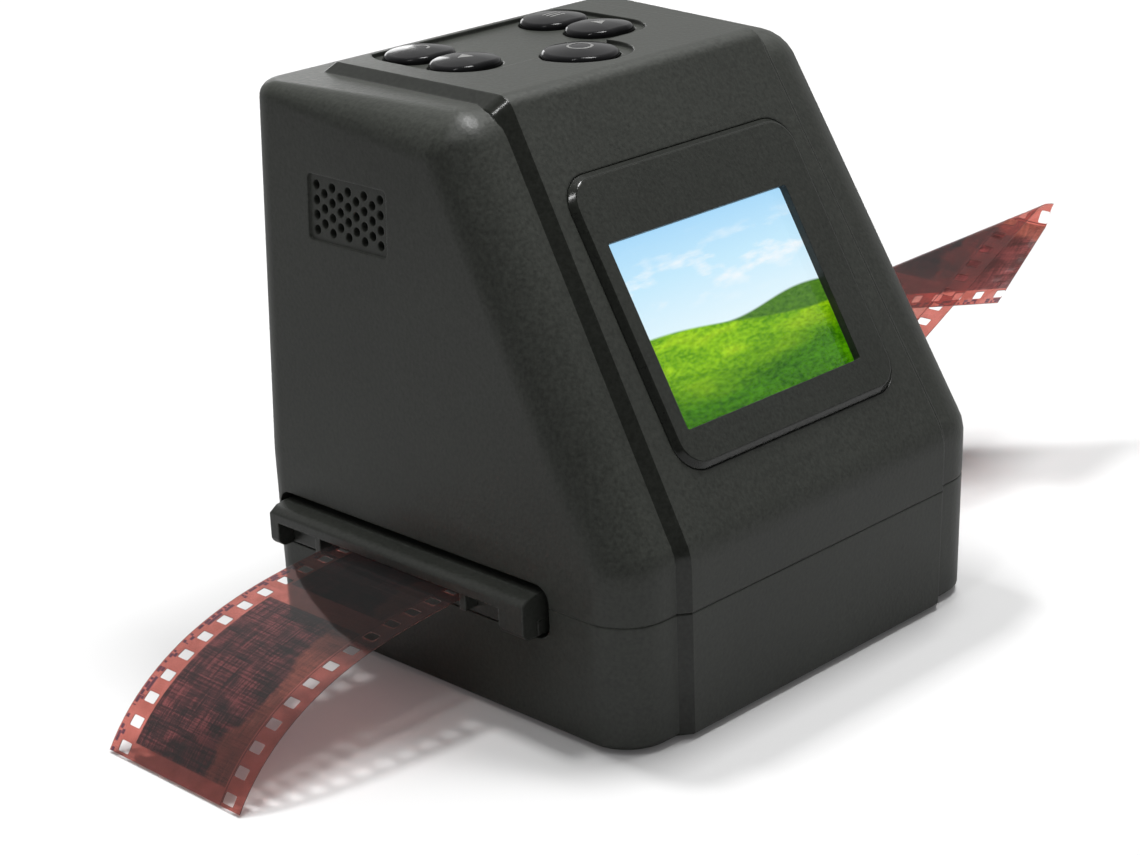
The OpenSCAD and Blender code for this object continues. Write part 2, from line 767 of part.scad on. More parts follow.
module key_posts() from_front() for (p = key_post_places)
    post(key_post_r, key_post_h + join, [p.x, p.y, key_board_top]);

module key_switches() color("#c9c9c4") from_front() for (p = key_places) difference() {
    block([switch_w, switch_w, switch_h], [p.x, p.y, key_board_top]);
    post(plunger_d/2 + plunger_gap, body_h, [p.x, p.y, key_board_top - past]);
}

module key_board() color("#1f6b3a") from_front() difference() {
    block([key_board_w, key_board_l, board_t], [0, key_board_y, key_board_z]);
    for (p = key_post_places) post(pin_d/2 + hole_gap, body_h, [p.x, p.y, key_board_z - past]);
}

// ---- Vent ----

vent_z = top_z - vent_top;
vent_back = body_d - vent_rear;
vent_w = (vent_cols - 1)*vent_step;
vent_h = (vent_rows - 1)*vent_pitch;
vent_corner_r = 1;

module vent() on_left_wall(vent_z) {
    translate([0, vent_back - vent_w/2, -vent_h/2]) across(2*vent_recess_t)
        rounded([vent_w + 2*vent_margin, vent_h + 2*vent_margin], vent_corner_r);
    for (col = [0:vent_cols - 1])
        let(odd = col % 2)
            for (row = [0:vent_rows - 1 - odd])
                translate([0, vent_back - col*vent_step, -(row + odd/2)*vent_pitch])
                    rotate([0, 90, 0]) cylinder(d = vent_d, h = 2*wall + past, center = true);
}

// ---- Film adapter ----

channel_l = film_w + 2*channel_gap;
locate_in = 6;
locate_places = [for (x = [-1, 1], y = [adapter_y + locate_in, adapter_y + adapter_l - locate_in])
    [x*(adapter_half - locate_in), y]];

module aperture(grow) block([aperture_w + grow, aperture_l + grow, body_h], [0, film_y, 0]);

module adapter_lower() color("#232422") from_front() {
    difference() {
        block([2*adapter_half, adapter_l, film_rise], [0, adapter_mid, adapter_z]);
        block([2*body_w, channel_l, body_h], [0, film_y, film_z - film_t/2 - channel_low]);
        aperture(0);
    }
    for (p = locate_places) post(locate_d/2, film_rise, [p.x, p.y, adapter_z + film_rise - join]);
}

lip_x = adapter_half + hood_reach;
lip_z = film_z + lip_gap;
// Drop of the hood's top at its shoulder
hood_crown = 0.4;
// Pockets that lighten the upper half beside the film
pocket_h = 2.4;
pocket_w = 6;
pocket_end = 15;
pocket_out = 7;

// Section of a hood across x, from the adapter's end to the lip
module hood_section() polygon([
    [adapter_half - join, adapter_top], [lip_x - hood_fall, adapter_top - hood_crown],
    [lip_x, adapter_top - hood_fall], [lip_x, lip_z], [lip_x - hood_t, lip_z],
    [lip_x - hood_t, adapter_top - hood_fall - hood_t], [adapter_half - join, adapter_top - hood_t]
]);

// Section of a hood's end wall, with a rounded lower corner
module hood_end_section() {
    translate([adapter_half - join, adapter_z + film_rise/2])
        square([hood_reach + join, adapter_h - film_rise/2 - hood_fall]);
    translate([adapter_half + fit_gap, adapter_z]) square([hood_reach/2 - fit_gap, film_rise]);
    translate([lip_x - hood_reach/2, adapter_z + hood_reach/2]) circle(d = hood_reach);
}

// Section of a rib beside the film
module rib_section() translate([adapter_half - join, film_z - rib_hang])
    square([hood_reach + join - hood_t/2, adapter_h - film_rise + rib_hang - hood_t]);

module hood() {
    translate([0, adapter_y, 0]) along(adapter_l) hood_section();
    translate([0, adapter_y, 0]) along(hood_front_t) hood_end_section();
    translate([0, adapter_y + adapter_l - hood_rear_t, 0]) along(hood_rear_t) hood_end_section();
    for (y = [film_y - film_w/2 - rib_gap - rib_t, film_y + film_w/2 + rib_gap])
        translate([0, y, 0]) along(rib_t) rib_section();
}

module adapter_upper() color("#262725") from_front() {
    difference() {
        union() {
            block([2*adapter_half, adapter_l, adapter_h - film_rise], [0, adapter_mid, film_z]);
            hood();
            mirror([1, 0, 0]) hood();
        }
        block([2*body_w, channel_l, film_t/2 + channel_high], [0, film_y, film_z]);
        block([2*(adapter_half + fit_gap), adapter_l + past, film_rise + past],
            [0, adapter_mid, adapter_z - past]);
        aperture(aperture_flare);
        for (side = [-1, 1]) block([2*(adapter_half - pocket_end), pocket_w, pocket_h],
            [0, film_y + side*(film_w/2 + pocket_out), film_z - join]);
        for (p = locate_places)
            post(locate_d/2 + pilot_gap, film_rise + pilot_gap, [p.x, p.y, film_z - join]);
        for (p = detent_places) translate([p.x, p.y, adapter_top + detent_r - detent_dip])
            rotate([90, 0, 0]) cylinder(r = detent_r, h = detent_w + 2*join, center = true);
    }
}

// ---- Film ----

// The film bends a little way outside the adapter, on both sides
film_out = 2.1;
bend_x = adapter_half + film_out;
tail_n = 20;
tail_step = tail_l/tail_n;
curl_arc = curl_r*curl_rise/radian;
roll_arc = roll_r*roll_turn/radian;

// The left tail falls ever more steeply: its slope in degrees at distance s
function tail_slope(s) = tail_dip + tail_bend*s*s;
function tail_way(a) = [cos(a), sin(a)];
tail_points = [for (i = 0, p = [-bend_x, film_z]; i <= tail_n;
    p = p - tail_step*tail_way(tail_slope((i + 0.5)*tail_step)), i = i + 1) p];

// Point of the right tail at u along it, v across it and e above it
function on_curl(u, v, e) =
    let(a = min(u/curl_r*radian, curl_rise), run = max(u - curl_arc, 0))
    [bend_x + curl_r*sin(a) + run*cos(a) - e*sin(a), film_y + v,
     film_z + curl_r*(1 - cos(a)) + run*sin(a) + e*cos(a)];

// The same with its rear corner rolled under: p runs across the roll and q along it
function on_roll(p, q, e) =
    let(a = min(p/roll_r*radian, roll_turn), run = max(p - roll_arc, 0),
        f = (roll_r + e)*sin(a) + run*cos(a), g = (roll_r + e)*cos(a) - roll_r - run*sin(a))
    on_curl(roll_start + q*cos(roll_skew) + f*sin(roll_skew),
        film_w/2 - q*sin(roll_skew) + f*cos(roll_skew), g);

// Ends of the row at p: the rear edge, and the front edge or the cut end
function roll_low(p) = p/tan(roll_skew);
function roll_high(p) = min((film_w + p*cos(roll_skew))/sin(roll_skew),
    (curl_l - roll_start - p*sin(roll_skew))/cos(roll_skew));

// Rows across the strip: around the roll, and on the flap as shares of its length
curl_n = 5;
roll_n = 14;
flap_rows = [0.55, 0.99];
roll_end = (curl_l - roll_start)*sin(roll_skew);
roll_steps = concat([for (i = [0:roll_n]) roll_arc*i/roll_n], flap_rows*roll_end);

// Rings of the strip, each with two points below it and two above
film_rings = concat(
    [for (i = [tail_n:-1:0])
        let(a = tail_slope(i*tail_step), p = tail_points[i], e = film_t/2*[-sin(a), cos(a)])
        [for (k = [[-1, -1], [1, -1], [1, 1], [-1, 1]])
            [p.x + k.y*e.x, film_y + k.x*film_w/2, p.y + k.y*e.y]]],
    [for (i = [0:curl_n]) [for (k = [[-1, -1], [1, -1], [1, 1], [-1, 1]])
        on_curl(curl_arc*i/curl_n, k.x*film_w/2, k.y*film_t/2)]],
    [for (p = roll_steps) [
        on_roll(p, roll_high(p), -film_t/2), on_roll(p, roll_low(p), -film_t/2),
        on_roll(p, roll_low(p), film_t/2), on_roll(p, roll_high(p), film_t/2)]]
);

// Closed solid through a list of rings of four points
module ring_sweep(rings) {
    n = len(rings);
    polyhedron(
        points = [for (ring = rings) for (p = ring) p],
        faces = concat([[0, 1, 2, 3]], [[4*n - 1, 4*n - 2, 4*n - 3, 4*n - 4]],
            [for (i = [0:n - 2]) for (k = [0:3])
                [4*i + k, 4*i + 4 + k, 4*i + 4 + (k + 1) % 4, 4*i + (k + 1) % 4]])
    );
}

module film_strip() color("#6b3526", 0.8) from_front() ring_sweep(film_rings);

// ---- Light, stage and guide ----

pin_l = 3.6;
lamp_screw_out = 2.6;
lamp_board_out = 5;
lamp_screw_x = light_w/2 + lamp_screw_out;
stage_r = 4;
stage_side_gap = 1.5;
stage_front_lap = 2.2;
stage_rear_gap = 3.8;
stage_half = cavity_half - stage_side_gap;
stage_front = stage_screw_y - stage_front_lap;
stage_rear = cavity_rear - stage_rear_gap;
tongue_gap = 0.5;
tongue_l = 10;
tongue_in = 2;
// Extra width of the openings in the stage and the guide
stage_flare = 3;

// Outline shared by the stage and the guide: a plate with a tongue at the rear
module stage_outline() {
    translate([0, (stage_front + stage_rear)/2]) rounded([2*stage_half, stage_rear - stage_front], stage_r);
    translate([0, cavity_rear - tongue_gap - tongue_l/2])
        square([ledge_w - 2*tongue_in, tongue_l], center = true);
}

module film_stage() color("#2b2b2b") from_front() difference() {
    translate([0, 0, stage_z]) linear_extrude(stage_t) stage_outline();
    aperture(stage_flare);
    both_sides(stage_screw_x) post(pin_d/2 + hole_gap, body_h, [0, stage_screw_y, 0]);
}

module diffuser() color("#f2f2ee") from_front()
    block([light_w, light_l, diffuser_t], [0, film_y, diffuser_z]);

module light_box() color("#e8e8e4") from_front() difference() {
    block([light_w, light_l, diffuser_z - lamp_top], [0, film_y, lamp_top]);
    block([light_w - 2*light_wall, light_l - 2*light_wall, body_h], [0, film_y, 0]);
}

lamp_tail_x = 25;
lamp_tail_w = 9;
lamp_tail_in = 7.8;
lamp_tail_y = cavity_rear - lamp_tail_in;

module lamp_board() color("#1f6b3a") from_front() difference() {
    union() {
        block([light_w + 2*lamp_board_out, light_l, lamp_board_t], [0, film_y, lamp_board_z]);
        block([lamp_tail_w, lamp_tail_y - film_y, lamp_board_t],
            [lamp_tail_x, (lamp_tail_y + film_y)/2, lamp_board_z]);
    }
    both_sides(lamp_screw_x) post(pin_d/2 + hole_gap, body_h, [0, film_y, 0]);
}

lamp_pitch = [9, 8];
lamp_size = [3.5, 2.8, 0.8];

module lamps() color("#f4e9b0") from_front() for (i = [-1.5:1.5], j = [-1:1])
    block(lamp_size, [i*lamp_pitch.x, film_y + j*lamp_pitch.y, lamp_top]);

module upper_guide() color("#2b2b2b") from_front() difference() {
    translate([0, 0, guide_z]) linear_extrude(guide_t) stage_outline();
    aperture(stage_flare);
    both_sides(guide_screw_x) post(pin_d/2 + hole_gap, body_h, [0, guide_screw_y, 0]);
    for (p = bracket_screws) post(pin_d/2 + pilot_gap, body_h, [p.x, p.y, 0]);
}

detent_r = 2;
detent_dip = 0.4;
detent_w = 4;
detent_t = 0.2;
detent_x = 32;
detent_in = 5;
detent_places = [for (x = [-1, 1], y = [adapter_y + detent_in, adapter_y + adapter_l - detent_in])
    [x*detent_x, y]];
// Half lengths of a leaf: its bowed middle, its slopes and its whole
leaf_mid = 1;
leaf_slope = 3;
leaf_half = 6;
leaf_z = adapter_top + detent_t/2;

// Steel leaves under the guide, each bowed down towards its notch in the adapter
module detent_springs() color("#b8babd") from_front() for (p = detent_places)
    translate([p.x, p.y - detent_w/2, 0]) along(detent_w) polygon([
        [-leaf_half, guide_z], [-leaf_half, guide_z - detent_t], [-leaf_slope, guide_z - detent_t],
        [-leaf_mid, leaf_z], [leaf_mid, leaf_z], [leaf_slope, guide_z - detent_t],
        [leaf_half, guide_z - detent_t], [leaf_half, guide_z], [leaf_slope, guide_z],
        [leaf_mid, leaf_z + detent_t], [-leaf_mid, leaf_z + detent_t], [-leaf_slope, guide_z]
    ]);

// ---- Camera ----

bracket_wall = 2;
tube_flare = [7, 9];
tube_w = aperture_w + tube_flare.x;
tube_l = aperture_l + tube_flare.y;
bracket_screws = [for (x = [-1, 1], y = [-1, 1])
    [x*(bracket_w/2 - pin_in), film_y + y*(bracket_l/2 - pin_in)]];
sensor_screws = [for (x = [-1, 1], y = [-1, 1])
    [x*(sensor_board_w/2 - pin_in), film_y + y*(sensor_board_w/2 - pin_in)]];
main_post_r = 2.5;
main_screws = [for (x = [-1, 1], y = [main_post_y - main_post_pitch, main_post_y])
    [x*(lens_plate_w/2 - plate_margin), y]];
lens_gap = 0.05;

module camera_bracket() color("#1d1d1d") from_front() difference() {
    union() {
        plate([bracket_w, bracket_l, bracket_t], plate_r, [0, film_y, guide_top]);
        block([tube_w, tube_l, bracket_h - join], [0, film_y, guide_top]);
        plate([lens_plate_w, lens_plate_l, lens_plate_t], plate_r, [0, film_y, bracket_top - lens_plate_t]);
        for (p = sensor_screws) post(pin_d, sensor_post_h + join, [p.x, p.y, bracket_top - join]);
        for (p = main_screws) post(main_post_r, main_post_h + join, [p.x, p.y, bracket_top - join]);
    }
    block([tube_w - 2*bracket_wall, tube_l - 2*bracket_wall, bracket_h - lens_plate_t],
        [0, film_y, guide_top]);
    post(lens_d/2 + lens_gap, body_h, [0, film_y, guide_top]);
    for (p = bracket_screws) post(pin_d/2 + hole_gap, bracket_t + past, [p.x, p.y, guide_top - join]);
    for (p = sensor_screws)
        post(pin_d/2 + pilot_gap, pin_l, [p.x, p.y, sensor_z + board_t - pin_l - join]);
    for (p = main_screws) post(pin_d/2 + pilot_gap, pin_l, [p.x, p.y, main_top - pin_l - join]);
}

lens_z = bracket_top + lens_proud - lens_l;
barrel_wall = 2;
barrel_stop = 1.2;
lens_bore = lens_d/2 - barrel_wall;
element_t = 2.4;
element_in = 1;
element_r = 20;

module lens_barrel() color("#0f0f0f") from_front() translate([0, film_y, lens_z]) difference() {
    cylinder(d = lens_d, h = lens_l);
    translate([0, 0, -past]) cylinder(r = lens_bore - barrel_stop, h = lens_l + 2*past);
    translate([0, 0, -past]) cylinder(r = lens_bore, h = element_t + element_in + past);
    translate([0, 0, lens_l - element_t - element_in]) cylinder(r = lens_bore, h = element_t + past);
}

// Lens element with a domed top
module element() intersection() {
    cylinder(r = lens_bore - lens_gap, h = element_t);
    translate([0, 0, element_t - element_r]) sphere(r = element_r, $fn = 96);
}

// Two elements, one seated against each side of the barrel's stop
module lens_elements() color("#a8c8d8", 0.5) from_front() translate([0, film_y, lens_z]) {
    translate([0, 0, element_in + element_t]) mirror([0, 0, 1]) element();
    translate([0, 0, lens_l - element_t - element_in]) element();
}

filter_t = 0.8;

module infrared_filter() color("#b0d8e8", 0.5) from_front()
    post(lens_bore - lens_gap, filter_t, [0, film_y, lens_z + lens_l - filter_t]);

module sensor_board() color("#1f6b3a") from_front() difference() {
    block([sensor_board_w, sensor_board_w, board_t], [0, film_y, sensor_z]);
    for (p = sensor_screws) post(pin_d/2 + hole_gap, body_h, [p.x, p.y, sensor_z - past]);
}

sensor_size = [12, 10, 1.4];

module image_sensor() color("#2c3a44") from_front()
    block(sensor_size, [0, film_y, sensor_z - sensor_size.z]);

// ---- Boards and sockets ----

module main_board() color("#1f6b3a") from_front() difference() {
    block([main_w, main_l, board_t], [0, main_y, main_z]);
    for (p = main_screws) post(pin_d/2 + hole_gap, body_h, [p.x, p.y, main_z - past]);
}

// The processor, two memory chips, the clock and a coil: their sizes and places from the rear edge
chips = [
    [[14, 14, 1.4], [-14, 36]], [[12, 8, 1.2], [16, 37]], [[9, 6, 1.2], [17, 25]],
    [[5, 8, 2], [-33, 38]], [[6, 6, 3], [33, 12]]
];

module main_chips() color("#202226") from_front() for (c = chips)
    block(c[0], [c[1].x, main_rear - c[1].y, main_top]);

card_w = 28;
card_l = 26;
card_h = 3;
card_x = -10;
card_slot = [24.6, 2.2];
usb_w = 7.8;
usb_l = 9;
usb_h = 4;
usb_x = 12;
jack_w = 6.5;
jack_l = 12;
jack_h = 6;
jack_x = 25;
jack_r = 1.8;
jack_nose_r = 2.8;
jack_back = 1.5;
socket_gap = 0.4;
sheet_t = 0.4;

module socket_openings() from_front() {
    block([card_w + 2*socket_gap, 3*wall, card_h + 2*socket_gap],
        [card_x, body_d, main_top - socket_gap]);
    block([usb_w + 2*socket_gap, 3*wall, usb_h + 2*socket_gap], [usb_x, body_d, main_top - socket_gap]);
    translate([jack_x, cavity_rear - past, main_top + jack_h/2]) rotate([-90, 0, 0])
        cylinder(r = jack_nose_r + socket_gap, h = wall + 2*past);
}

module card_socket() color("#b9bbbd") from_front() difference() {
    block([card_w, card_l, card_h], [card_x, main_rear - card_l/2 + main_gap, main_top]);
    block([card_slot.x, card_l, card_slot.y], [card_x, main_rear - card_l/2 + past, main_top + sheet_t]);
}

module usb_socket() color("#c0c2c4") from_front() {
    difference() {
        block([usb_w, usb_l, usb_h], [usb_x, main_rear - usb_l/2 + 2*main_gap, main_top]);
        block([usb_w - 2*sheet_t, usb_l, usb_h - 2*sheet_t],
            [usb_x, main_rear - usb_l/2 + past + 2*main_gap, main_top + sheet_t]);
    }
    block([usb_w/2, usb_l/2, 2*sheet_t],
        [usb_x, main_rear - usb_l/2 + main_gap, main_top + usb_h/2 - sheet_t]);
}

module av_jack() color("#1a1a1a") from_front() difference() {
    union() {
        block([jack_w, jack_l, jack_h], [jack_x, main_rear - jack_l/2, main_top]);
        translate([jack_x, main_rear - join, main_top + jack_h/2]) rotate([-90, 0, 0])
            cylinder(r = jack_nose_r, h = main_gap + wall/2 + join);
    }
    translate([jack_x, main_rear - jack_l + jack_back, main_top + jack_h/2]) rotate([-90, 0, 0])
        cylinder(r = jack_r, h = jack_l + wall + past);
}

// ---- Ribbon cables ----

// Points along the cubic curve with four control points
function curve(c) = [for (i = [0:12]) let(t = i/12, s = 1 - t)
    s*s*s*c[0] + 3*s*s*t*c[1] + 3*s*t*t*c[2] + t*t*t*c[3]];

// A ribbon of width w at x, as thick as ribbon_t, whose middle follows the points in [y, z]
module ribbon(points, x, w) {
    n = len(points) - 1;
    sides = [for (i = [0:n]) let(d = points[min(i + 1, n)] - points[max(i - 1, 0)])
        ribbon_t/2/norm(d)*[-d.y, d.x]];
    translate([x, 0, 0]) across(w) polygon(concat(
        [for (i = [0:n]) points[i] + sides[i]], [for (i = [n:-1:0]) points[i] - sides[i]]));
}

ribbon_w = 5;
// How far a ribbon laps onto a board, and how far it runs straight before it bends
ribbon_lap = 3;
ribbon_lead = 5;
// Heights of the ribbons' middles on the boards
main_ribbon_z = main_top + ribbon_t/2;
lamp_ribbon_z = lamp_top + ribbon_t/2;

display_ribbon_w = 18;
display_ribbon_in = 4;
ribbon_up = window_up + module_l/2 - clamp_lap - display_ribbon_in;
ribbon_start = [ribbon_up*sin(slope) + band_wall*cos(slope),
    bend_z + ribbon_up*cos(slope) - band_wall*sin(slope)];

module display_ribbon() color("#c87a2a") from_front() ribbon(
    curve([ribbon_start, ribbon_start + ribbon_lead*[cos(slope), -sin(slope)],
        [main_front - ribbon_lead, main_ribbon_z + ribbon_lead], [main_front + ribbon_lap, main_ribbon_z]]),
    module_x, display_ribbon_w);

key_ribbon_x = 3;
// Distances of the key ribbon's ends and bends behind the middle of the key board
key_ribbon_ends = [-10, -16];
key_ribbon_bends = [-28, -4];

module key_ribbon() color("#c87a2a") from_front() ribbon(
    curve([[key_board_y + key_ribbon_ends[0], key_board_z - ribbon_t/2],
        [key_board_y + key_ribbon_bends[0], key_board_z - ribbon_t/2],
        [key_board_y + key_ribbon_bends[1], main_ribbon_z],
        [key_board_y + key_ribbon_ends[1], main_ribbon_z]]),
    key_ribbon_x, ribbon_w);

// The lamp ribbon climbs the rear wall, with a bend of this height at each end
lamp_ribbon_bend = 8;
lamp_ribbon_in = 1.4;
lamp_ribbon_y = cavity_rear - lamp_ribbon_in;

module lamp_ribbon() color("#c87a2a") from_front() ribbon(concat(
    curve([[lamp_tail_y - ribbon_lap, lamp_ribbon_z], [lamp_ribbon_y - ribbon_lap, lamp_ribbon_z],
        [lamp_ribbon_y, lamp_ribbon_z], [lamp_ribbon_y, lamp_ribbon_z + lamp_ribbon_bend]]),
    curve([[lamp_ribbon_y, main_z - 2*lamp_ribbon_bend], [lamp_ribbon_y, main_z - lamp_ribbon_bend/2],
        [lamp_ribbon_y, main_z - ribbon_t/2], [main_rear - lamp_ribbon_bend, main_z - ribbon_t/2]])),
    lamp_tail_x, ribbon_w);

// ---- Small screws ----

module pin_screw(l) screw(pin_d, l);

module board_screws() color("#9a9c9f") {
    from_front() {
        both_sides(stage_screw_x) translate([0, stage_screw_y, stage_z + stage_t]) pin_screw(pin_l);
        both_sides(lamp_screw_x) translate([0, film_y, lamp_top]) pin_screw(lamp_board_t + lamp_post_h);
        both_sides(guide_screw_x) translate([0, guide_screw_y, guide_z]) rotate([180, 0, 0]) pin_screw(pin_l);
        for (p = bracket_screws)
            translate([p.x, p.y, guide_top + bracket_t]) pin_screw(bracket_t + guide_t - join);
        for (p = sensor_screws) translate([p.x, p.y, sensor_z + board_t]) pin_screw(pin_l);
        for (p = main_screws) translate([p.x, p.y, main_top]) pin_screw(pin_l);
        for (p = key_post_places)
            translate([p.x, p.y, key_board_z]) rotate([180, 0, 0]) pin_screw(pin_l);
    }
    on_slope() for (p = clamp_screws) translate([p.x, p.y, clamp_z])
        rotate([180, 0, 0]) pin_screw(clamp_pin_l - join);
}

lower_housing();
upper_housing();
rubber_feet();
housing_screws();
display_bezel();
display_window();
display_module();
display_clamp();
display_ribbon();
key(0);  // key_back
key(1);  // key_menu
key(2);  // key_left
key(3);  // key_right
key(4);  // key_ok
plunger(0);  // plunger_back
plunger(1);  // plunger_menu
plunger(2);  // plunger_left
plunger(3);  // plunger_right
plunger(4);  // plunger_ok
key_switches();
key_board();
key_ribbon();
main_board();
main_chips();
card_socket();
usb_socket();
av_jack();
camera_bracket();
lens_barrel();
lens_elements();
infrared_filter();
sensor_board();
image_sensor();
upper_guide();
detent_springs();
adapter_upper();
film_strip();
adapter_lower();
film_stage();
diffuser();
light_box();
lamp_board();
lamps();
lamp_ribbon();
board_screws();
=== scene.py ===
import json
import math

import bmesh
import bpy
from mathutils import Matrix, Vector

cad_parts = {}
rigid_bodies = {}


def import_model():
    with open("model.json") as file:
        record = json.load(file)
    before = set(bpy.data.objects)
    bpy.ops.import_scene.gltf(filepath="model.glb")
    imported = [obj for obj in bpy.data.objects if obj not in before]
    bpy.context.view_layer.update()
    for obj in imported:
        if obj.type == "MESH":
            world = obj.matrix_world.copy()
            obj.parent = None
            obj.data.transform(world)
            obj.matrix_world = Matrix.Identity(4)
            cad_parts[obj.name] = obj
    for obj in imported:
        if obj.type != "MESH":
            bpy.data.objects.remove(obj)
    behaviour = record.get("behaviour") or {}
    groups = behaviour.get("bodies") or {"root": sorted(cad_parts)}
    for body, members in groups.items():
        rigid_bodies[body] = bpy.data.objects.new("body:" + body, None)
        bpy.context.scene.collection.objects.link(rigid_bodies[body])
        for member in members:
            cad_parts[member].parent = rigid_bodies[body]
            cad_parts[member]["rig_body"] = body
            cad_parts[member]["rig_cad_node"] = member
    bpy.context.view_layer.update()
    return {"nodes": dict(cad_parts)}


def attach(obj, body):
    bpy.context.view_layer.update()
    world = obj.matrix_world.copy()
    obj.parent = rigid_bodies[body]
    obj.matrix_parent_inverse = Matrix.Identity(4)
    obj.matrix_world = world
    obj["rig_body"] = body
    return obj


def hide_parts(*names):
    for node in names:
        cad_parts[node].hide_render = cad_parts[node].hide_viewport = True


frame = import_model()
nodes = frame["nodes"]

# ---------------------------------------------------------------------------
# Camera. A long lens low over the left front corner, turned a little clockwise.
# ---------------------------------------------------------------------------
camera_data = bpy.data.cameras.new("camera")
camera_data.lens = 82.63
camera_data.sensor_width = 36
camera_data.shift_y = 0.0018
camera_data.clip_start = 0.01
camera = bpy.data.objects.new("camera", camera_data)
bpy.context.scene.collection.objects.link(camera)
camera.matrix_world = (
    Matrix.Translation((-0.3291, -0.3129, 0.2089))
    @ Matrix.Rotation(math.radians(-45.11), 4, "Z")
    @ Matrix.Rotation(math.radians(90 - 20.89), 4, "X")
    @ Matrix.Rotation(math.radians(-2.11), 4, "Z")
)
bpy.context.scene.camera = camera
bpy.context.scene.view_settings.view_transform = "Standard"

# ---------------------------------------------------------------------------
# Studio. A white sweep of paper that keeps the object's shadow, a soft box
# overhead to the right, a lamp behind, two thin tubes overhead to the left, and
# an unlit room on the camera's side.
# ---------------------------------------------------------------------------


def add_node(tree, kind, sockets=None, **settings):
    """One shader node. A socket is given a value, or the socket that feeds it."""
    made = tree.nodes.new("ShaderNode" + kind)
    for name, value in settings.items():
        setattr(made, name, value)
    for name, value in (sockets or {}).items():
        if isinstance(value, bpy.types.NodeSocket):
            tree.links.new(value, made.inputs[name])
        else:
            made.inputs[name].default_value = value
    return made


def only(piece):
    """Selects this piece and nothing else."""
    bpy.ops.object.select_all(action="DESELECT")
    piece.select_set(True)
    bpy.context.view_layer.objects.active = piece


def sums(tree, operation, *values):
    made = add_node(tree, "Math", dict(enumerate(values)), operation=operation)
    return made.outputs[0]


paper = bpy.data.materials.new("white_paper")
paper.use_nodes = True
tree = paper.node_tree
surface = tree.nodes["Principled BSDF"]
surface.inputs["Roughness"].default_value = 0.9
surface.inputs["Specular IOR Level"].default_value = 0.0
rays = add_node(tree, "LightPath").outputs
seen = sums(tree, "MAXIMUM", rays["Is Camera Ray"], rays["Is Transmission Ray"])
fibre = add_node(tree, "TexNoise", {"Scale": 40.0, "Detail": 4.0})
tint = add_node(tree, "MapRange", {0: fibre.outputs["Fac"], 3: 0.98, 4: 1.0})
white = sums(tree, "MULTIPLY", tint.outputs[0], add_node(tree, "MapRange", {0: seen, 3: 0.42, 4: 0.64}).outputs[0])
tree.links.new(add_node(tree, "CombineColor", {0: white, 1: white, 2: white}).outputs[0],
               surface.inputs["Base Color"])
surface.inputs["Emission Color"].default_value = (1.0, 0.97, 0.99, 1)
away = add_node(tree, "VectorMath", {0: add_node(tree, "TexCoord").outputs["Object"]}, operation="LENGTH")
lift = add_node(tree, "MapRange", {0: away.outputs["Value"], 1: 0.25, 2: 0.9, 3: 0.03, 4: 0.60})
tree.links.new(sums(tree, "MULTIPLY", seen, lift.outputs[0]), surface.inputs["Emission Strength"])

bpy.ops.object.select_all(action="DESELECT")
bpy.ops.mesh.primitive_grid_add(x_subdivisions=40, y_subdivisions=40, size=6.0, location=(0, 0, 0))
floor = bpy.context.object
floor.name = "floor"
floor.data.materials.append(paper)

world = bpy.data.worlds.new("studio")
bpy.context.scene.world = world
world.use_nodes = True
tree = world.node_tree
rays = add_node(tree, "LightPath").outputs
direct = sums(tree, "MAXIMUM", rays["Is Camera Ray"], rays["Is Transmission Ray"])
way = add_node(tree, "TexCoord").outputs["Generated"]
far_side = add_node(tree, "VectorMath", {0: way, 1: (0.707, 0.707, 0.0)}, operation="DOT_PRODUCT").outputs["Value"]
backdrop = add_node(tree, "MapRange", {0: far_side, 1: -0.40, 2: 0.7, 3: 0.05, 4: 0.55},
                    interpolation_type="SMOOTHSTEP").outputs[0]
mirrored = add_node(tree, "Mix", {0: rays["Is Glossy Ray"]}, data_type="FLOAT")
mirrored.inputs[2].default_value = 0.36
tree.links.new(backdrop, mirrored.inputs[3])
level = add_node(tree, "Mix", {0: direct}, data_type="FLOAT")
tree.links.new(mirrored.outputs[0], level.inputs[2])
level.inputs[3].default_value = 1.0
tree.links.new(level.outputs[0], tree.nodes["Background"].inputs["Strength"])
tree.nodes["Background"].inputs["Color"].default_value = (1, 1, 1, 1)


def soft_box(name, place, aim, size, power, mirrored=True, lights=True):
    """A rectangular lamp. It may be kept out of gloss, or light nothing and show in gloss only."""
    lamp = bpy.data.lights.new(name, "AREA")
    lamp.shape = "RECTANGLE"
    lamp.size, lamp.size_y = size
    lamp.energy = power
    box = bpy.data.objects.new(name, lamp)
    box.visible_glossy = mirrored
    box.visible_diffuse = lights
    box.visible_transmission = lights
    bpy.context.scene.collection.objects.link(box)
    turn = (Vector(aim) - Vector(place)).to_track_quat("-Z", "Y")
    box.matrix_world = Matrix.Translation(place) @ turn.to_matrix().to_4x4()


soft_box("overhead", (0.24, -0.02, 0.92), (0.0, 0, 0.03), (0.36, 0.18), 7.0)
soft_box("behind", (-0.04, 0.36, 0.90), (0, 0, 0.03), (0.14, 0.14), 5.0, mirrored=False)
soft_box("rear_panel", (0.125, 0.285, 0.150), (-0.02, 0.02, 0.105), (0.12, 0.07), 0.08, lights=False)
for tube, place in (("near_tube", (-0.36, -0.08, 0.87)), ("far_tube", (-0.46, -0.11, 0.85))):
    soft_box(tube, place, (0, 0, 0.08), (0.025, 0.30), 0.5)

# ---------------------------------------------------------------------------
# Housing. Two injection-moulded shells of charcoal ABS with a fine spark-eroded
# grain, clipped at the rear and screwed at the front. Their edges are broken by
# the mould, and a fine groove runs along the seam between them.
# ---------------------------------------------------------------------------


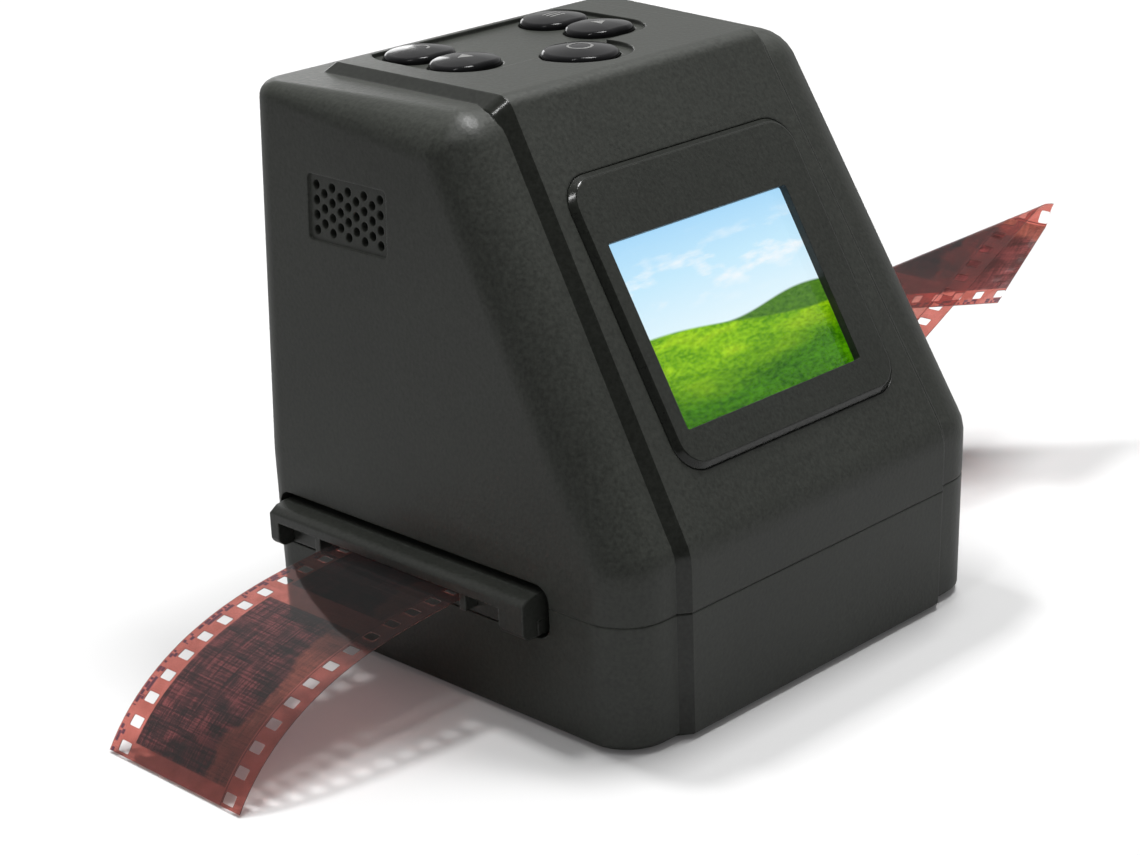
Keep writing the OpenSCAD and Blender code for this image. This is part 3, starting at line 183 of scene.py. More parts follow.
def moulded_copy(node, name):
    """The skin of a CAD node as one joined mesh with flat faces in one piece."""
    copy = nodes[node].copy()
    copy.data = nodes[node].data.copy()
    copy.name = name
    copy.parent = None
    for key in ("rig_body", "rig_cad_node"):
        if key in copy:
            del copy[key]
    copy.data.materials.clear()
    bpy.context.scene.collection.objects.link(copy)
    only(copy)
    if copy.data.has_custom_normals:
        bpy.ops.mesh.customdata_custom_splitnormals_clear()
    bpy.ops.object.mode_set(mode="EDIT")
    bpy.ops.mesh.select_all(action="SELECT")
    bpy.ops.mesh.remove_doubles(threshold=0.000004)
    bpy.ops.mesh.dissolve_limited(angle_limit=math.radians(0.4))
    bpy.ops.object.mode_set(mode="OBJECT")
    return copy


def pick(piece, what, test):
    """In edit mode, selects the faces, edges or verts that pass the test."""
    bpy.ops.mesh.select_mode(type={"faces": "FACE", "edges": "EDGE", "verts": "VERT"}[what])
    bpy.ops.mesh.select_all(action="DESELECT")
    mesh = bmesh.from_edit_mesh(piece.data)
    for item in getattr(mesh, what):
        if test(item):
            item.select_set(True)
    bmesh.update_edit_mesh(piece.data)


def middle(edge):
    return (edge.verts[0].co + edge.verts[1].co) / 2


def smooth(piece, angle):
    """Rounds off the shading up to that angle and keeps the large faces flat."""
    only(piece)
    bpy.ops.object.shade_smooth_by_angle(angle=math.radians(angle))
    keep = piece.modifiers.new("flat faces", "WEIGHTED_NORMAL")
    keep.keep_sharp = True
    keep.weight = 80
    bpy.ops.object.modifier_apply(modifier=keep.name)


def new_group(name, inputs, outputs):
    """An empty effect group with named inputs and outputs."""
    group = bpy.data.node_groups.new(name, "ShaderNodeTree")
    for socket, (kind, value) in inputs.items():
        made = group.interface.new_socket(socket, in_out="INPUT", socket_type="NodeSocket" + kind)
        made.default_value = value
    for socket, kind in outputs.items():
        group.interface.new_socket(socket, in_out="OUTPUT", socket_type="NodeSocket" + kind)
    return group, group.nodes.new("NodeGroupInput").outputs, group.nodes.new("NodeGroupOutput")


# Spark-eroded grain, broken edges lightened partly as rubbed edges and partly as a painted highlight, and slow colour
# drift of a moulding
grain_group, given, result = new_group(
    "moulded grain",
    {"Color": ("Color", (0.03, 0.03, 0.03, 1)), "Roughness": ("Float", 0.5), "Grain Scale": ("Float", 1500.0),
     "Grain Depth": ("Float", 0.3), "Edge Radius": ("Float", 0.0004), "Edge Rub And Highlight": ("Float", 0.1),
     "Polish": ("Float", 0.0)},
    {"Color": "Color", "Roughness": "Float", "Normal": "Vector"},
)
place = add_node(grain_group, "TexCoord").outputs["Object"]
fine = add_node(grain_group, "TexNoise", {"Vector": place, "Scale": given["Grain Scale"], "Detail": 3.0,
                                          "Roughness": 0.6})
pits = add_node(grain_group, "TexVoronoi", {"Vector": place, "Scale": given["Grain Scale"]})
drift = add_node(grain_group, "TexNoise", {"Vector": place, "Scale": 35.0, "Detail": 2.0})
rounded = add_node(grain_group, "Bevel", {"Radius": given["Edge Radius"]}, samples=4)
flat = add_node(grain_group, "NewGeometry")
bend = add_node(grain_group, "VectorMath", {0: rounded.outputs[0], 1: flat.outputs["Normal"]},
                operation="DOT_PRODUCT")
edge = add_node(grain_group, "MapRange", {0: bend.outputs["Value"], 1: 0.99, 2: 0.80, 3: 0.0, 4: 1.0})
shade = add_node(grain_group, "MapRange", {0: drift.outputs["Fac"], 1: 0.3, 2: 0.7, 3: 0.92, 4: 1.08})
speck = add_node(grain_group, "MapRange", {0: fine.outputs["Fac"], 1: 0.3, 2: 0.7, 3: 0.75, 4: 1.25})
dull = sums(grain_group, "SUBTRACT", 1.0, given["Polish"])
shade_all = add_node(grain_group, "Math", {0: shade.outputs[0], 1: speck.outputs[0]}, operation="MULTIPLY")
# Colour lifted along the rounded edges: partly rubbed edges, partly a painted highlight.
rub_and_highlight_lift = add_node(grain_group, "Math", {0: edge.outputs[0], 1: given["Edge Rub And Highlight"], 2: shade_all.outputs[0]},
                     operation="MULTIPLY_ADD")
tinted = add_node(grain_group, "VectorMath", {0: given["Color"], "Scale": rub_and_highlight_lift.outputs[0]}, operation="SCALE")
rough_grain = add_node(grain_group, "MapRange", {0: fine.outputs["Fac"], 1: 0.3, 2: 0.7, 3: -0.05, 4: 0.05})
rough_sum = add_node(grain_group, "Math", {0: given["Roughness"], 1: rough_grain.outputs[0]}, operation="ADD")
rough_cut = add_node(grain_group, "Math", {0: edge.outputs[0], 1: -0.12, 2: rough_sum.outputs[0]},
                     operation="MULTIPLY_ADD")
relief = add_node(grain_group, "Math", {0: fine.outputs["Fac"], 1: pits.outputs["Distance"]}, operation="ADD")
depth = sums(grain_group, "MULTIPLY", given["Grain Depth"], dull)
bumped = add_node(grain_group, "Bump", {"Strength": depth, "Distance": 0.00006,
                                        "Height": relief.outputs[0], "Normal": rounded.outputs[0]})
polished = add_node(grain_group, "MapRange", {0: given["Polish"], 3: 1.0, 4: 0.55})
deeper = add_node(grain_group, "VectorMath", {0: tinted.outputs[0], "Scale": polished.outputs[0]},
                  operation="SCALE")
sheen = add_node(grain_group, "MapRange", {0: given["Polish"], 3: 1.0, 4: 0.34})
finish = sums(grain_group, "MULTIPLY", rough_cut.outputs[0], sheen.outputs[0])
grain_group.links.new(deeper.outputs[0], result.inputs["Color"])
grain_group.links.new(finish, result.inputs["Roughness"])
grain_group.links.new(bumped.outputs[0], result.inputs["Normal"])


def new_material(name):
    made = bpy.data.materials.new(name)
    made.use_nodes = True
    return made, made.node_tree, made.node_tree.nodes["Principled BSDF"]


def plastic(name, color, roughness, grain=1500.0, depth=0.3, edge=0.0004, rub_and_highlight=0.1, gloss=0.5, polish=False):
    """A grained moulding whose edges are lightened, partly as rubbed edges and partly as a painted highlight; the
    faces marked polished are smooth.
    """
    made, tree, surface = new_material(name)
    surface.inputs["Specular IOR Level"].default_value = gloss
    grained = add_node(tree, "Group", node_tree=grain_group)
    for socket, value in (("Color", (*color, 1)), ("Roughness", roughness), ("Grain Scale", grain),
                          ("Grain Depth", depth), ("Edge Radius", edge), ("Edge Rub And Highlight", rub_and_highlight)):
        grained.inputs[socket].default_value = value
    if polish:
        marked = add_node(tree, "Attribute", attribute_name="polished")
        tree.links.new(marked.outputs["Fac"], grained.inputs["Polish"])
    tree.links.new(grained.outputs["Color"], surface.inputs["Base Color"])
    tree.links.new(grained.outputs["Roughness"], surface.inputs["Roughness"])
    tree.links.new(grained.outputs["Normal"], surface.inputs["Normal"])
    return made


def mark_polished(piece, test):
    """Marks the faces that the mould's polished parts leave smooth."""
    mark = piece.data.attributes.new("polished", "FLOAT", "CORNER")
    for face in piece.data.polygons:
        for corner in face.loop_indices:
            mark.data[corner].value = 1.0 if test(face) else 0.0


charcoal = plastic("charcoal_abs", (0.031, 0.0335, 0.0285), 0.44, grain=1300.0, depth=0.35, edge=0.0005,
                   rub_and_highlight=0.25, gloss=0.4, polish=True)
seam_z, seam_groove, groove_h = 0.0240, 0.00012, 0.00025
body_half, body_lean, bend_z, top_z = 0.0490, 0.0300, 0.0348, 0.1055
band_inset, band_bevel = 0.0142, 0.0022


def on_band_edge(face):
    """Whether a face is part of the bevel along the raised band."""
    at, normal = face.center, face.normal
    side = body_half - max(at.z - bend_z, 0) * body_lean
    beside = abs(at.x) - (side - band_inset)
    along = abs(normal.x) > 0.35 and -0.0006 < beside < band_bevel + 0.0006
    across = normal.y > 0.35 and at.z > top_z - 0.0019 and beside < band_bevel
    return (along or across) and abs(normal.x) < 0.9 and (normal.z > 0.05 or normal.y < -0.3)


def groove(piece, into):
    """Presses the shell's outer edge at the seam in a little, between two rows of corners."""
    bpy.ops.object.mode_set(mode="EDIT")
    bpy.ops.mesh.select_all(action="SELECT")
    bpy.ops.mesh.bisect(plane_co=(0, 0, seam_z + into * groove_h), plane_no=(0, 0, 1))
    bpy.ops.object.mode_set(mode="OBJECT")
    corners = piece.data.vertices
    outward = {}
    for face in piece.data.polygons:
        if abs(face.normal.z) < 0.5:
            for i in face.vertices:
                if abs(corners[i].co.z - seam_z) < 0.00001:
                    outward[i] = outward.get(i, Vector()) + face.normal
    for i, way in outward.items():
        way = Vector((way.x, way.y, 0)).normalized()
        start = corners[i].co + way * 0.0002 + Vector((0, 0, into * 0.0004))
        if not piece.ray_cast(start, way)[0]:
            corners[i].co -= way * seam_groove


for shell, node, into in (("shell_lower", "lower_housing", -1), ("shell_upper", "upper_housing", 1)):
    piece = moulded_copy(node, shell)
    groove(piece, into)
    mark_polished(piece, on_band_edge)
    smooth(piece, 24)
    piece.data.materials.append(charcoal)
    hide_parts(node)
    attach(piece, "housing")

# ---------------------------------------------------------------------------
# Feet and shell screws. Four die-cut rubber discs glued in their seats, and two
# zinc-plated screws that close the shells from below.
# ---------------------------------------------------------------------------
rubber, tree, surface = new_material("foot_rubber")
place = add_node(tree, "TexCoord").outputs["Object"]
chalk = add_node(tree, "TexNoise", {"Vector": place, "Scale": 700.0, "Detail": 5.0})
tone = add_node(tree, "ValToRGB", {0: chalk.outputs["Fac"]})
tone.color_ramp.elements[0].position, tone.color_ramp.elements[0].color = 0.35, (0.016, 0.016, 0.016, 1)
tone.color_ramp.elements[1].position, tone.color_ramp.elements[1].color = 0.75, (0.035, 0.034, 0.032, 1)
tree.links.new(tone.outputs[0], surface.inputs["Base Color"])
dull = add_node(tree, "MapRange", {0: chalk.outputs["Fac"], 3: 0.75, 4: 0.95})
tree.links.new(dull.outputs[0], surface.inputs["Roughness"])
skin = add_node(tree, "Bump", {"Strength": 0.4, "Distance": 0.0001, "Height": chalk.outputs["Fac"]})
tree.links.new(skin.outputs[0], surface.inputs["Normal"])


def dress(node, material):
    """A CAD node keeps its shape and gets its finish."""
    nodes[node].data.materials.clear()
    nodes[node].data.materials.append(material)


dress("rubber_feet", rubber)

# Drawing lines and slight stains of sheet and wire metal
metal_group, given, result = new_group(
    "drawn metal",
    {"Color": ("Color", (0.5, 0.5, 0.5, 1)), "Roughness": ("Float", 0.3), "Lines": ("Vector", (60.0, 2500.0, 2500.0))},
    {"Color": "Color", "Roughness": "Float", "Height": "Float"},
)
place = add_node(metal_group, "TexCoord").outputs["Object"]
stretched = add_node(metal_group, "VectorMath", {0: place, 1: given["Lines"]}, operation="MULTIPLY")
lines = add_node(metal_group, "TexNoise", {"Vector": stretched.outputs[0], "Scale": 1.0, "Detail": 3.0})
stain = add_node(metal_group, "TexNoise", {"Vector": place, "Scale": 220.0, "Detail": 3.0})
tone = add_node(metal_group, "MapRange", {0: stain.outputs["Fac"], 1: 0.3, 2: 0.7, 3: 0.85, 4: 1.1})
tinted = add_node(metal_group, "VectorMath", {0: given["Color"], "Scale": tone.outputs[0]}, operation="SCALE")
spread = add_node(metal_group, "MapRange", {0: lines.outputs["Fac"], 1: 0.3, 2: 0.7, 3: -0.08, 4: 0.12})
rough = add_node(metal_group, "Math", {0: given["Roughness"], 1: spread.outputs[0]}, operation="ADD")
metal_group.links.new(tinted.outputs[0], result.inputs["Color"])
metal_group.links.new(rough.outputs[0], result.inputs["Roughness"])
metal_group.links.new(lines.outputs["Fac"], result.inputs["Height"])


def metal(name, color, roughness, lines):
    made, tree, surface = new_material(name)
    surface.inputs["Metallic"].default_value = 1.0
    drawn = add_node(tree, "Group", node_tree=metal_group)
    drawn.inputs["Color"].default_value = (*color, 1)
    drawn.inputs["Roughness"].default_value = roughness
    drawn.inputs["Lines"].default_value = lines
    tree.links.new(drawn.outputs["Color"], surface.inputs["Base Color"])
    tree.links.new(drawn.outputs["Roughness"], surface.inputs["Roughness"])
    ridges = add_node(tree, "Bump", {"Strength": 0.15, "Distance": 0.00003, "Height": drawn.outputs["Height"]})
    tree.links.new(ridges.outputs[0], surface.inputs["Normal"])
    return made


zinc = metal("zinc_plate", (0.56, 0.57, 0.58), 0.32, (900.0, 900.0, 3000.0))
dress("housing_screws", zinc)

# ---------------------------------------------------------------------------
# Display bezel. A raised frame of the same ABS with a 45 degree edge, glued into
# a shallow seat in the band. Its window sits left of and below its middle.
# ---------------------------------------------------------------------------
slope = math.atan2(0.0419, 0.0707)
slope_frame = Matrix.Translation((0, -0.0470, 0.0348)) @ Matrix.Rotation(math.pi / 2 - slope, 4, "X")
bezel_w, bezel_l, bezel_up, bezel_r = 0.0586, 0.0540, 0.0390, 0.0060
bezel_seat, bezel_rise = 0.0005, 0.0011
window_w, window_l, window_x, window_up = 0.0463, 0.0340, -0.00205, 0.0362


def set_in(piece, matrix):
    """Puts a piece that was modelled flat in its place, in its mesh."""
    only(piece)
    piece.matrix_world = matrix @ piece.matrix_world
    bpy.ops.object.transform_apply(location=True, rotation=True, scale=True)


def block(name, size, at):
    """A block of that size, centred on at, as the start of a piece."""
    bpy.ops.object.select_all(action="DESELECT")
    bpy.ops.mesh.primitive_cube_add(size=1, location=at)
    made = bpy.context.object
    made.name = name
    made.scale = size
    bpy.ops.object.transform_apply(location=True, rotation=True, scale=True)
    return made


def cut_out(piece, cutter):
    only(piece)
    cut = piece.modifiers.new("cut", "BOOLEAN")
    cut.object = cutter
    cut.solver = "EXACT"
    bpy.ops.object.modifier_apply(modifier=cut.name)
    bpy.data.objects.remove(cutter, do_unlink=True)


bezel = block("bezel", (bezel_w, bezel_l, bezel_seat), (0, bezel_up, -bezel_seat / 2))
bpy.ops.object.mode_set(mode="EDIT")
pick(bezel, "edges", lambda e: abs(e.verts[0].co.z - e.verts[1].co.z) > bezel_seat / 2)
bpy.ops.mesh.bevel(offset=bezel_r, segments=12, affect="EDGES")
pick(bezel, "faces", lambda f: f.normal.z > 0.9)
bpy.ops.mesh.inset(thickness=bezel_rise, depth=bezel_rise)
pick(bezel, "edges", lambda e: all(v.co.z > -0.00001 for v in e.verts)
     and abs(e.verts[0].co.z - e.verts[1].co.z) < 0.00001)
bpy.ops.mesh.bevel(offset=0.00022, segments=3, affect="EDGES")
bpy.ops.object.mode_set(mode="OBJECT")
opening = block("opening", (window_w, window_l, 0.01), (window_x, window_up, 0))
bpy.ops.object.mode_set(mode="EDIT")
pick(opening, "edges", lambda e: abs(e.verts[0].co.z - e.verts[1].co.z) > 0.005)
bpy.ops.mesh.bevel(offset=0.0004, segments=3, affect="EDGES")
bpy.ops.object.mode_set(mode="OBJECT")
cut_out(bezel, opening)
mark_polished(bezel, lambda face: 0.2 < face.normal.z < 0.97)
set_in(bezel, slope_frame)
smooth(bezel, 30)
bezel.data.materials.append(
    plastic("bezel_abs", (0.0245, 0.0267, 0.0225), 0.42, grain=1500.0, depth=0.28, edge=0.0002, rub_and_highlight=0.25,
            gloss=0.4, polish=True))
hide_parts("display_bezel")
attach(bezel, "housing")

# ---------------------------------------------------------------------------
# Display. A clear acrylic pane behind the bezel, and behind it a lit panel in a
# black tray that shows a plain picture of a sky over a meadow.
# ---------------------------------------------------------------------------
pane, tree, surface = new_material("clear_acrylic")
surface.inputs["Base Color"].default_value = (0.97, 0.99, 1.0, 1)
surface.inputs["Transmission Weight"].default_value = 1.0
surface.inputs["IOR"].default_value = 1.2
wipe = add_node(tree, "TexNoise", {"Vector": add_node(tree, "TexCoord").outputs["Object"], "Scale": 90.0,
                                   "Detail": 4.0})
haze = add_node(tree, "MapRange", {0: wipe.outputs["Fac"], 1: 0.4, 2: 0.8, 3: 0.0, 4: 0.05})
tree.links.new(haze.outputs[0], surface.inputs["Roughness"])
dress("display_window", pane)

module_w, module_l, module_t = 0.0603, 0.0427, 0.0027
module_x, module_front = window_x + 0.0026, -0.0011
tray = block("display_tray", (module_w, module_l, module_t), (module_x, window_up, module_front - module_t / 2))
bpy.ops.object.mode_set(mode="EDIT")
pick(tray, "faces", lambda f: f.normal.z > 0.9)
bpy.ops.mesh.inset(thickness=0.0020)
bpy.ops.mesh.inset(thickness=0.0002, depth=-0.0003)
pick(tray, "edges", lambda e: len(e.link_faces) == 2 and e.calc_face_angle() > 1
     and middle(e).z < module_front - 0.0001)
bpy.ops.mesh.bevel(offset=0.0003, segments=2, affect="EDGES")
bpy.ops.object.mode_set(mode="OBJECT")
set_in(tray, slope_frame)
smooth(tray, 30)
tray.data.materials.append(plastic("tray_black", (0.02, 0.02, 0.02), 0.5, grain=1800.0, depth=0.15, edge=0.0002))
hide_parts("display_module")
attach(tray, "housing")

picture = block("display_picture", (0.0500, 0.0376, 0.0002), (window_x, window_up, module_front - 0.00018))
bpy.ops.object.mode_set(mode="EDIT")
pick(picture, "faces", lambda f: f.normal.z > 0.9)
bpy.ops.mesh.inset(thickness=0.0003)
bpy.ops.mesh.inset(thickness=0.00005, depth=-0.00002)
bpy.ops.object.mode_set(mode="OBJECT")
chart = picture.data.uv_layers.new(name="picture")
for loop in picture.data.loops:
    at = picture.data.vertices[loop.vertex_index].co
    chart.data[loop.index].uv = ((at.x - window_x) / window_w + 0.5, (at.y - window_up) / window_l + 0.5)
set_in(picture, slope_frame)

lit, tree, surface = new_material("lit_meadow")
surface.inputs["Base Color"].default_value = (0.004, 0.004, 0.004, 1)
surface.inputs["Roughness"].default_value = 0.25
surface.inputs["Specular IOR Level"].default_value = 0.02
surface.inputs["Emission Strength"].default_value = 1.0
where = add_node(tree, "UVMap", uv_map="picture").outputs[0]
axes = add_node(tree, "SeparateXYZ", {0: where})
across, height = axes.outputs[0], axes.outputs[1]


def ramp(tree, value, stops):
    """A colour ramp through (position, colour) stops."""
    made = add_node(tree, "ValToRGB", {0: value})
    points = made.color_ramp.elements
    points[0].position, points[0].color = stops[0][0], (*stops[0][1], 1)
    points[1].position, points[1].color = stops[-1][0], (*stops[-1][1], 1)
    for position, color in stops[1:-1]:
        points.new(position).color = (*color, 1)
    return made.outputs[0]


def blend_colors(tree, share, under, over):
    made = add_node(tree, "Mix", data_type="RGBA")
    for socket, value in ((made.inputs[0], share), (made.inputs[6], under), (made.inputs[7], over)):
        if isinstance(value, bpy.types.NodeSocket):
            tree.links.new(value, socket)
        else:
            socket.default_value = value
    return made.outputs[2]


sky = ramp(tree, height, [(0.45, (0.80, 0.94, 1.0)), (0.75, (0.58, 0.84, 0.99)), (1.0, (0.42, 0.72, 0.97))])
drawn_out = add_node(tree, "Mapping", {"Vector": where, "Scale": (2.2, 5.2, 1.0), "Location": (0.3, 0.9, 0.0)})
puffs = add_node(tree, "TexNoise", {"Vector": drawn_out.outputs[0], "Scale": 1.7, "Detail": 7.0, "Roughness": 0.55})
cloud_band = ramp(tree, height, [(0.52, (0, 0, 0)), (0.68, (1, 1, 1)), (0.80, (0.8, 0.8, 0.8)), (0.96, (0, 0, 0))])
cloud = add_node(tree, "MapRange", {0: puffs.outputs["Fac"], 1: 0.50, 2: 0.66, 3: 0.0, 4: 1.0})
cloud_share = sums(tree, "MULTIPLY", cloud.outputs[0], cloud_band)
sky = blend_colors(tree, cloud_share, sky, (0.96, 0.98, 1.0, 1))


def hill(tree, base, swing, turns, start, tilt):
    """Height of a ridge line across the picture."""
    wave = sums(tree, "SINE", sums(tree, "MULTIPLY_ADD", across, turns * 2 * math.pi, start))
    line = sums(tree, "MULTIPLY_ADD", wave, swing, base)
    return sums(tree, "MULTIPLY_ADD", across, tilt, line)


def above(tree, line, soft):
    """1 below the ridge line, 0 above it."""
    gap = sums(tree, "SUBTRACT", line, height)
    return add_node(tree, "MapRange", {0: gap, 1: 0.0, 2: soft, 3: 0.0, 4: 1.0}).outputs[0]


far_line = hill(tree, 0.452, 0.022, 1.3, 0.6, 0.02)
near_line = hill(tree, 0.455, 0.040, 0.62, 1.1, -0.06)
front_line = hill(tree, 0.33, 0.05, 0.7, 3.4, 0.02)
blades = add_node(tree, "Mapping", {"Vector": where, "Scale": (34.0, 52.0, 1.0)})
grass = add_node(tree, "TexNoise", {"Vector": blades.outputs[0], "Scale": 0.9, "Detail": 7.0, "Roughness": 0.8})
sweep = add_node(tree, "Mapping", {"Vector": where, "Scale": (2.0, 7.0, 1.0), "Rotation": (0, 0, 0.28)})
light_band = add_node(tree, "TexNoise", {"Vector": sweep.outputs[0], "Scale": 1.3, "Detail": 2.0})
far_color = ramp(tree, grass.outputs["Fac"], [(0.3, (0.02, 0.09, 0.01)), (0.7, (0.12, 0.30, 0.02))])
lit_green = ramp(tree, light_band.outputs["Fac"], [(0.36, (0.08, 0.30, 0.0)), (0.5, (0.22, 0.52, 0.0)),
                                                 (0.64, (0.52, 0.78, 0.01))])
dark_green = ramp(tree, light_band.outputs["Fac"], [(0.34, (0.010, 0.10, 0.0)), (0.66, (0.06, 0.26, 0.0))])
near_color = blend_colors(tree, 0.45, lit_green, ramp(tree, grass.outputs["Fac"], [
    (0.42, (0.02, 0.16, 0.0)), (0.58, (0.42, 0.72, 0.01))]))
front_color = blend_colors(tree, 0.5, dark_green, ramp(tree, grass.outputs["Fac"], [
    (0.42, (0.003, 0.045, 0.0)), (0.58, (0.10, 0.34, 0.0))]))
view = blend_colors(tree, above(tree, far_line, 0.012), sky, far_color)
view = blend_colors(tree, above(tree, near_line, 0.012), view, near_color)
view = blend_colors(tree, above(tree, front_line, 0.22), view, front_color)
tree.links.new(view, surface.inputs["Emission Color"])
picture.data.materials.append(lit)
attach(picture, "housing")

# ---------------------------------------------------------------------------
# Keys. Five glossy black ABS caps with domed tops and rounded rims, each held
# under the wall by its flange. A small plain mark is printed on each.
# ---------------------------------------------------------------------------
key_top = top_z + 0.00095
dome_r = 0.030
key_bottom = top_z - 0.0040

gloss, tree, surface = new_material("key_gloss")
place = add_node(tree, "TexCoord").outputs["Object"]
swirl = add_node(tree, "TexNoise", {"Vector": place, "Scale": 160.0, "Detail": 5.0, "Roughness": 0.65})
wiped = ramp(tree, swirl.outputs["Fac"], [(0.35, (0.0075, 0.0075, 0.008)), (0.7, (0.012, 0.012, 0.0125))])
tree.links.new(wiped, surface.inputs["Base Color"])
film_haze = add_node(tree, "MapRange", {0: swirl.outputs["Fac"], 1: 0.35, 2: 0.75, 3: 0.09, 4: 0.18})
tree.links.new(film_haze.outputs[0], surface.inputs["Roughness"])
orange_peel = add_node(tree, "TexNoise", {"Vector": place, "Scale": 420.0, "Detail": 1.0})
peel = add_node(tree, "Bump", {"Strength": 0.08, "Distance": 0.00005, "Height": orange_peel.outputs["Fac"]})
tree.links.new(peel.outputs[0], surface.inputs["Normal"])
surface.inputs["Specular IOR Level"].default_value = 0.10
surface.inputs["Coat Weight"].default_value = 0.03
surface.inputs["Coat Roughness"].default_value = 0.05

print_ink, tree, surface = new_material("key_print")
worn = add_node(tree, "TexNoise", {"Vector": add_node(tree, "TexCoord").outputs["Object"], "Scale": 1500.0,
                                   "Detail": 3.0})
ink = ramp(tree, worn.outputs["Fac"], [(0.35, (0.12, 0.12, 0.117)), (0.6, (0.20, 0.20, 0.195))])
tree.links.new(ink, surface.inputs["Base Color"])
ink_rough = add_node(tree, "MapRange", {0: worn.outputs["Fac"], 3: 0.35, 4: 0.55})
tree.links.new(ink_rough.outputs[0], surface.inputs["Roughness"])


def dome_z(x, y, cx, cy):
    """Height of a key's domed top at x, y, for a key centred on cx, cy."""
    return key_top - dome_r + math.sqrt(dome_r ** 2 - (x - cx) ** 2 - (y - cy) ** 2)


def key_cap(name, node, body, at, width, depth):
    cx, cy = at
    bpy.ops.object.select_all(action="DESELECT")
    tall = top_z - key_bottom
    bpy.ops.mesh.primitive_cylinder_add(vertices=72, radius=depth / 2, depth=tall, end_fill_type="NGON",
                                        location=(cx, cy, key_bottom + tall / 2))
    cap = bpy.context.object
    cap.name = name
    bpy.ops.object.transform_apply(location=True, rotation=True, scale=True)
    for v in cap.data.vertices:
        if abs(v.co.x - cx) > 0.0002:
            v.co.x += math.copysign((width - depth) / 2, v.co.x - cx)
    bpy.ops.object.mode_set(mode="EDIT")
    pick(cap, "faces", lambda f: f.normal.z > 0.9)
    for step in (0.0009, 0.0009, 0.0009, 0.0009, 0.0008):
        bpy.ops.mesh.inset(thickness=step)
    pick(cap, "faces", lambda f: f.normal.z > 0.9 and len(f.verts) > 8)
    bpy.ops.mesh.poke()
    bpy.ops.object.mode_set(mode="OBJECT")
    for v in cap.data.vertices:
        if v.co.z > top_z - 0.00001:
            v.co.z = dome_z(v.co.x, v.co.y, cx, cy)
    bpy.ops.object.mode_set(mode="EDIT")
    pick(cap, "edges", lambda e: e.is_manifold and e.calc_face_angle() > 0.9 and middle(e).z > top_z - 0.002)
    bpy.ops.mesh.bevel(offset=0.00075, segments=5, affect="EDGES")
    bpy.ops.object.mode_set(mode="OBJECT")
    flange = block(name + "_flange", (width + 0.0024, 0.006, 0.0009), (cx, cy, key_bottom + 0.0006))
    only(cap)
    weld = cap.modifiers.new("flange", "BOOLEAN")
    weld.operation = "UNION"
    weld.object = flange
    bpy.ops.object.modifier_apply(modifier=weld.name)
    bpy.data.objects.remove(flange, do_unlink=True)
    smooth(cap, 40)
    cap.data.materials.append(gloss)
    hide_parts(node)
    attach(cap, body)


def print_mark(name, body, at, shapes):
    """Flat shapes, each a list of [x, y] corners in mm, laid on the dome of the key at that place."""
    cx, cy = at
    corners, faces = [], []
    for shape in shapes:
        faces.append(list(range(len(corners), len(corners) + len(shape))))
        corners += [(cx + x / 1000, cy + y / 1000, top_z) for x, y in shape]
    made = bpy.data.meshes.new(name)
    made.from_pydata(corners, [], faces)
    mark = bpy.data.objects.new(name, made)
    bpy.context.scene.collection.objects.link(mark)
    only(mark)
    bpy.ops.object.mode_set(mode="EDIT")
    bpy.ops.mesh.select_all(action="SELECT")
    bpy.ops.mesh.quads_convert_to_tris()
    bpy.ops.mesh.subdivide(number_cuts=3)
    bpy.ops.object.mode_set(mode="OBJECT")
    for v in mark.data.vertices:
        v.co.z = dome_z(v.co.x, v.co.y, cx, cy) + 0.00002
    mark.data.materials.append(print_ink)
    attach(mark, body)


def arc(cx, cy, r, start, stop, width, steps=16):
    """Quads of a curved stroke, for a mark."""
    points = [math.radians(start + (stop - start) * i / steps) for i in range(steps + 1)]
    spot = lambda a, radius: [cx + radius * math.cos(a), cy + radius * math.sin(a)]
    return [[spot(a, r - width / 2), spot(a, r + width / 2), spot(b, r + width / 2), spot(b, r - width / 2)]
            for a, b in zip(points, points[1:])]


key_places = {"back": (-0.0180, 0.0316), "menu": (0.0164, 0.0316), "left": (-0.0180, 0.0198),
              "right": (0.0164, 0.0198), "ok": (0.0, 0.0089)}
key_marks = {
    "back": arc(0.3, 0, 1.5, -90, 150, 0.45) + [[[-2.3, 0.9], [-0.9, 0.1], [-0.6, 1.7]]],
    "menu": [[[-1.9, y], [1.9, y], [1.9, y + 0.45], [-1.9, y + 0.45]] for y in (-1.3, -0.2, 0.9)],
    "left": [[[-1.8, 0], [0.9, -1.5], [0.9, 1.5]]],
    "right": [[[1.8, 0], [-0.9, 1.5], [-0.9, -1.5]]],
    "ok": arc(0, 0, 2.2, 0, 360, 0.5, 32),
}
for key, at in key_places.items():
    width, depth = (0.0142, 0.0142) if key == "ok" else (0.0138, 0.0109)
    key_cap("cap_" + key, "key_" + key, key + "_key", at, width, depth)
    print_mark("mark_" + key, key + "_key", at, key_marks[key])

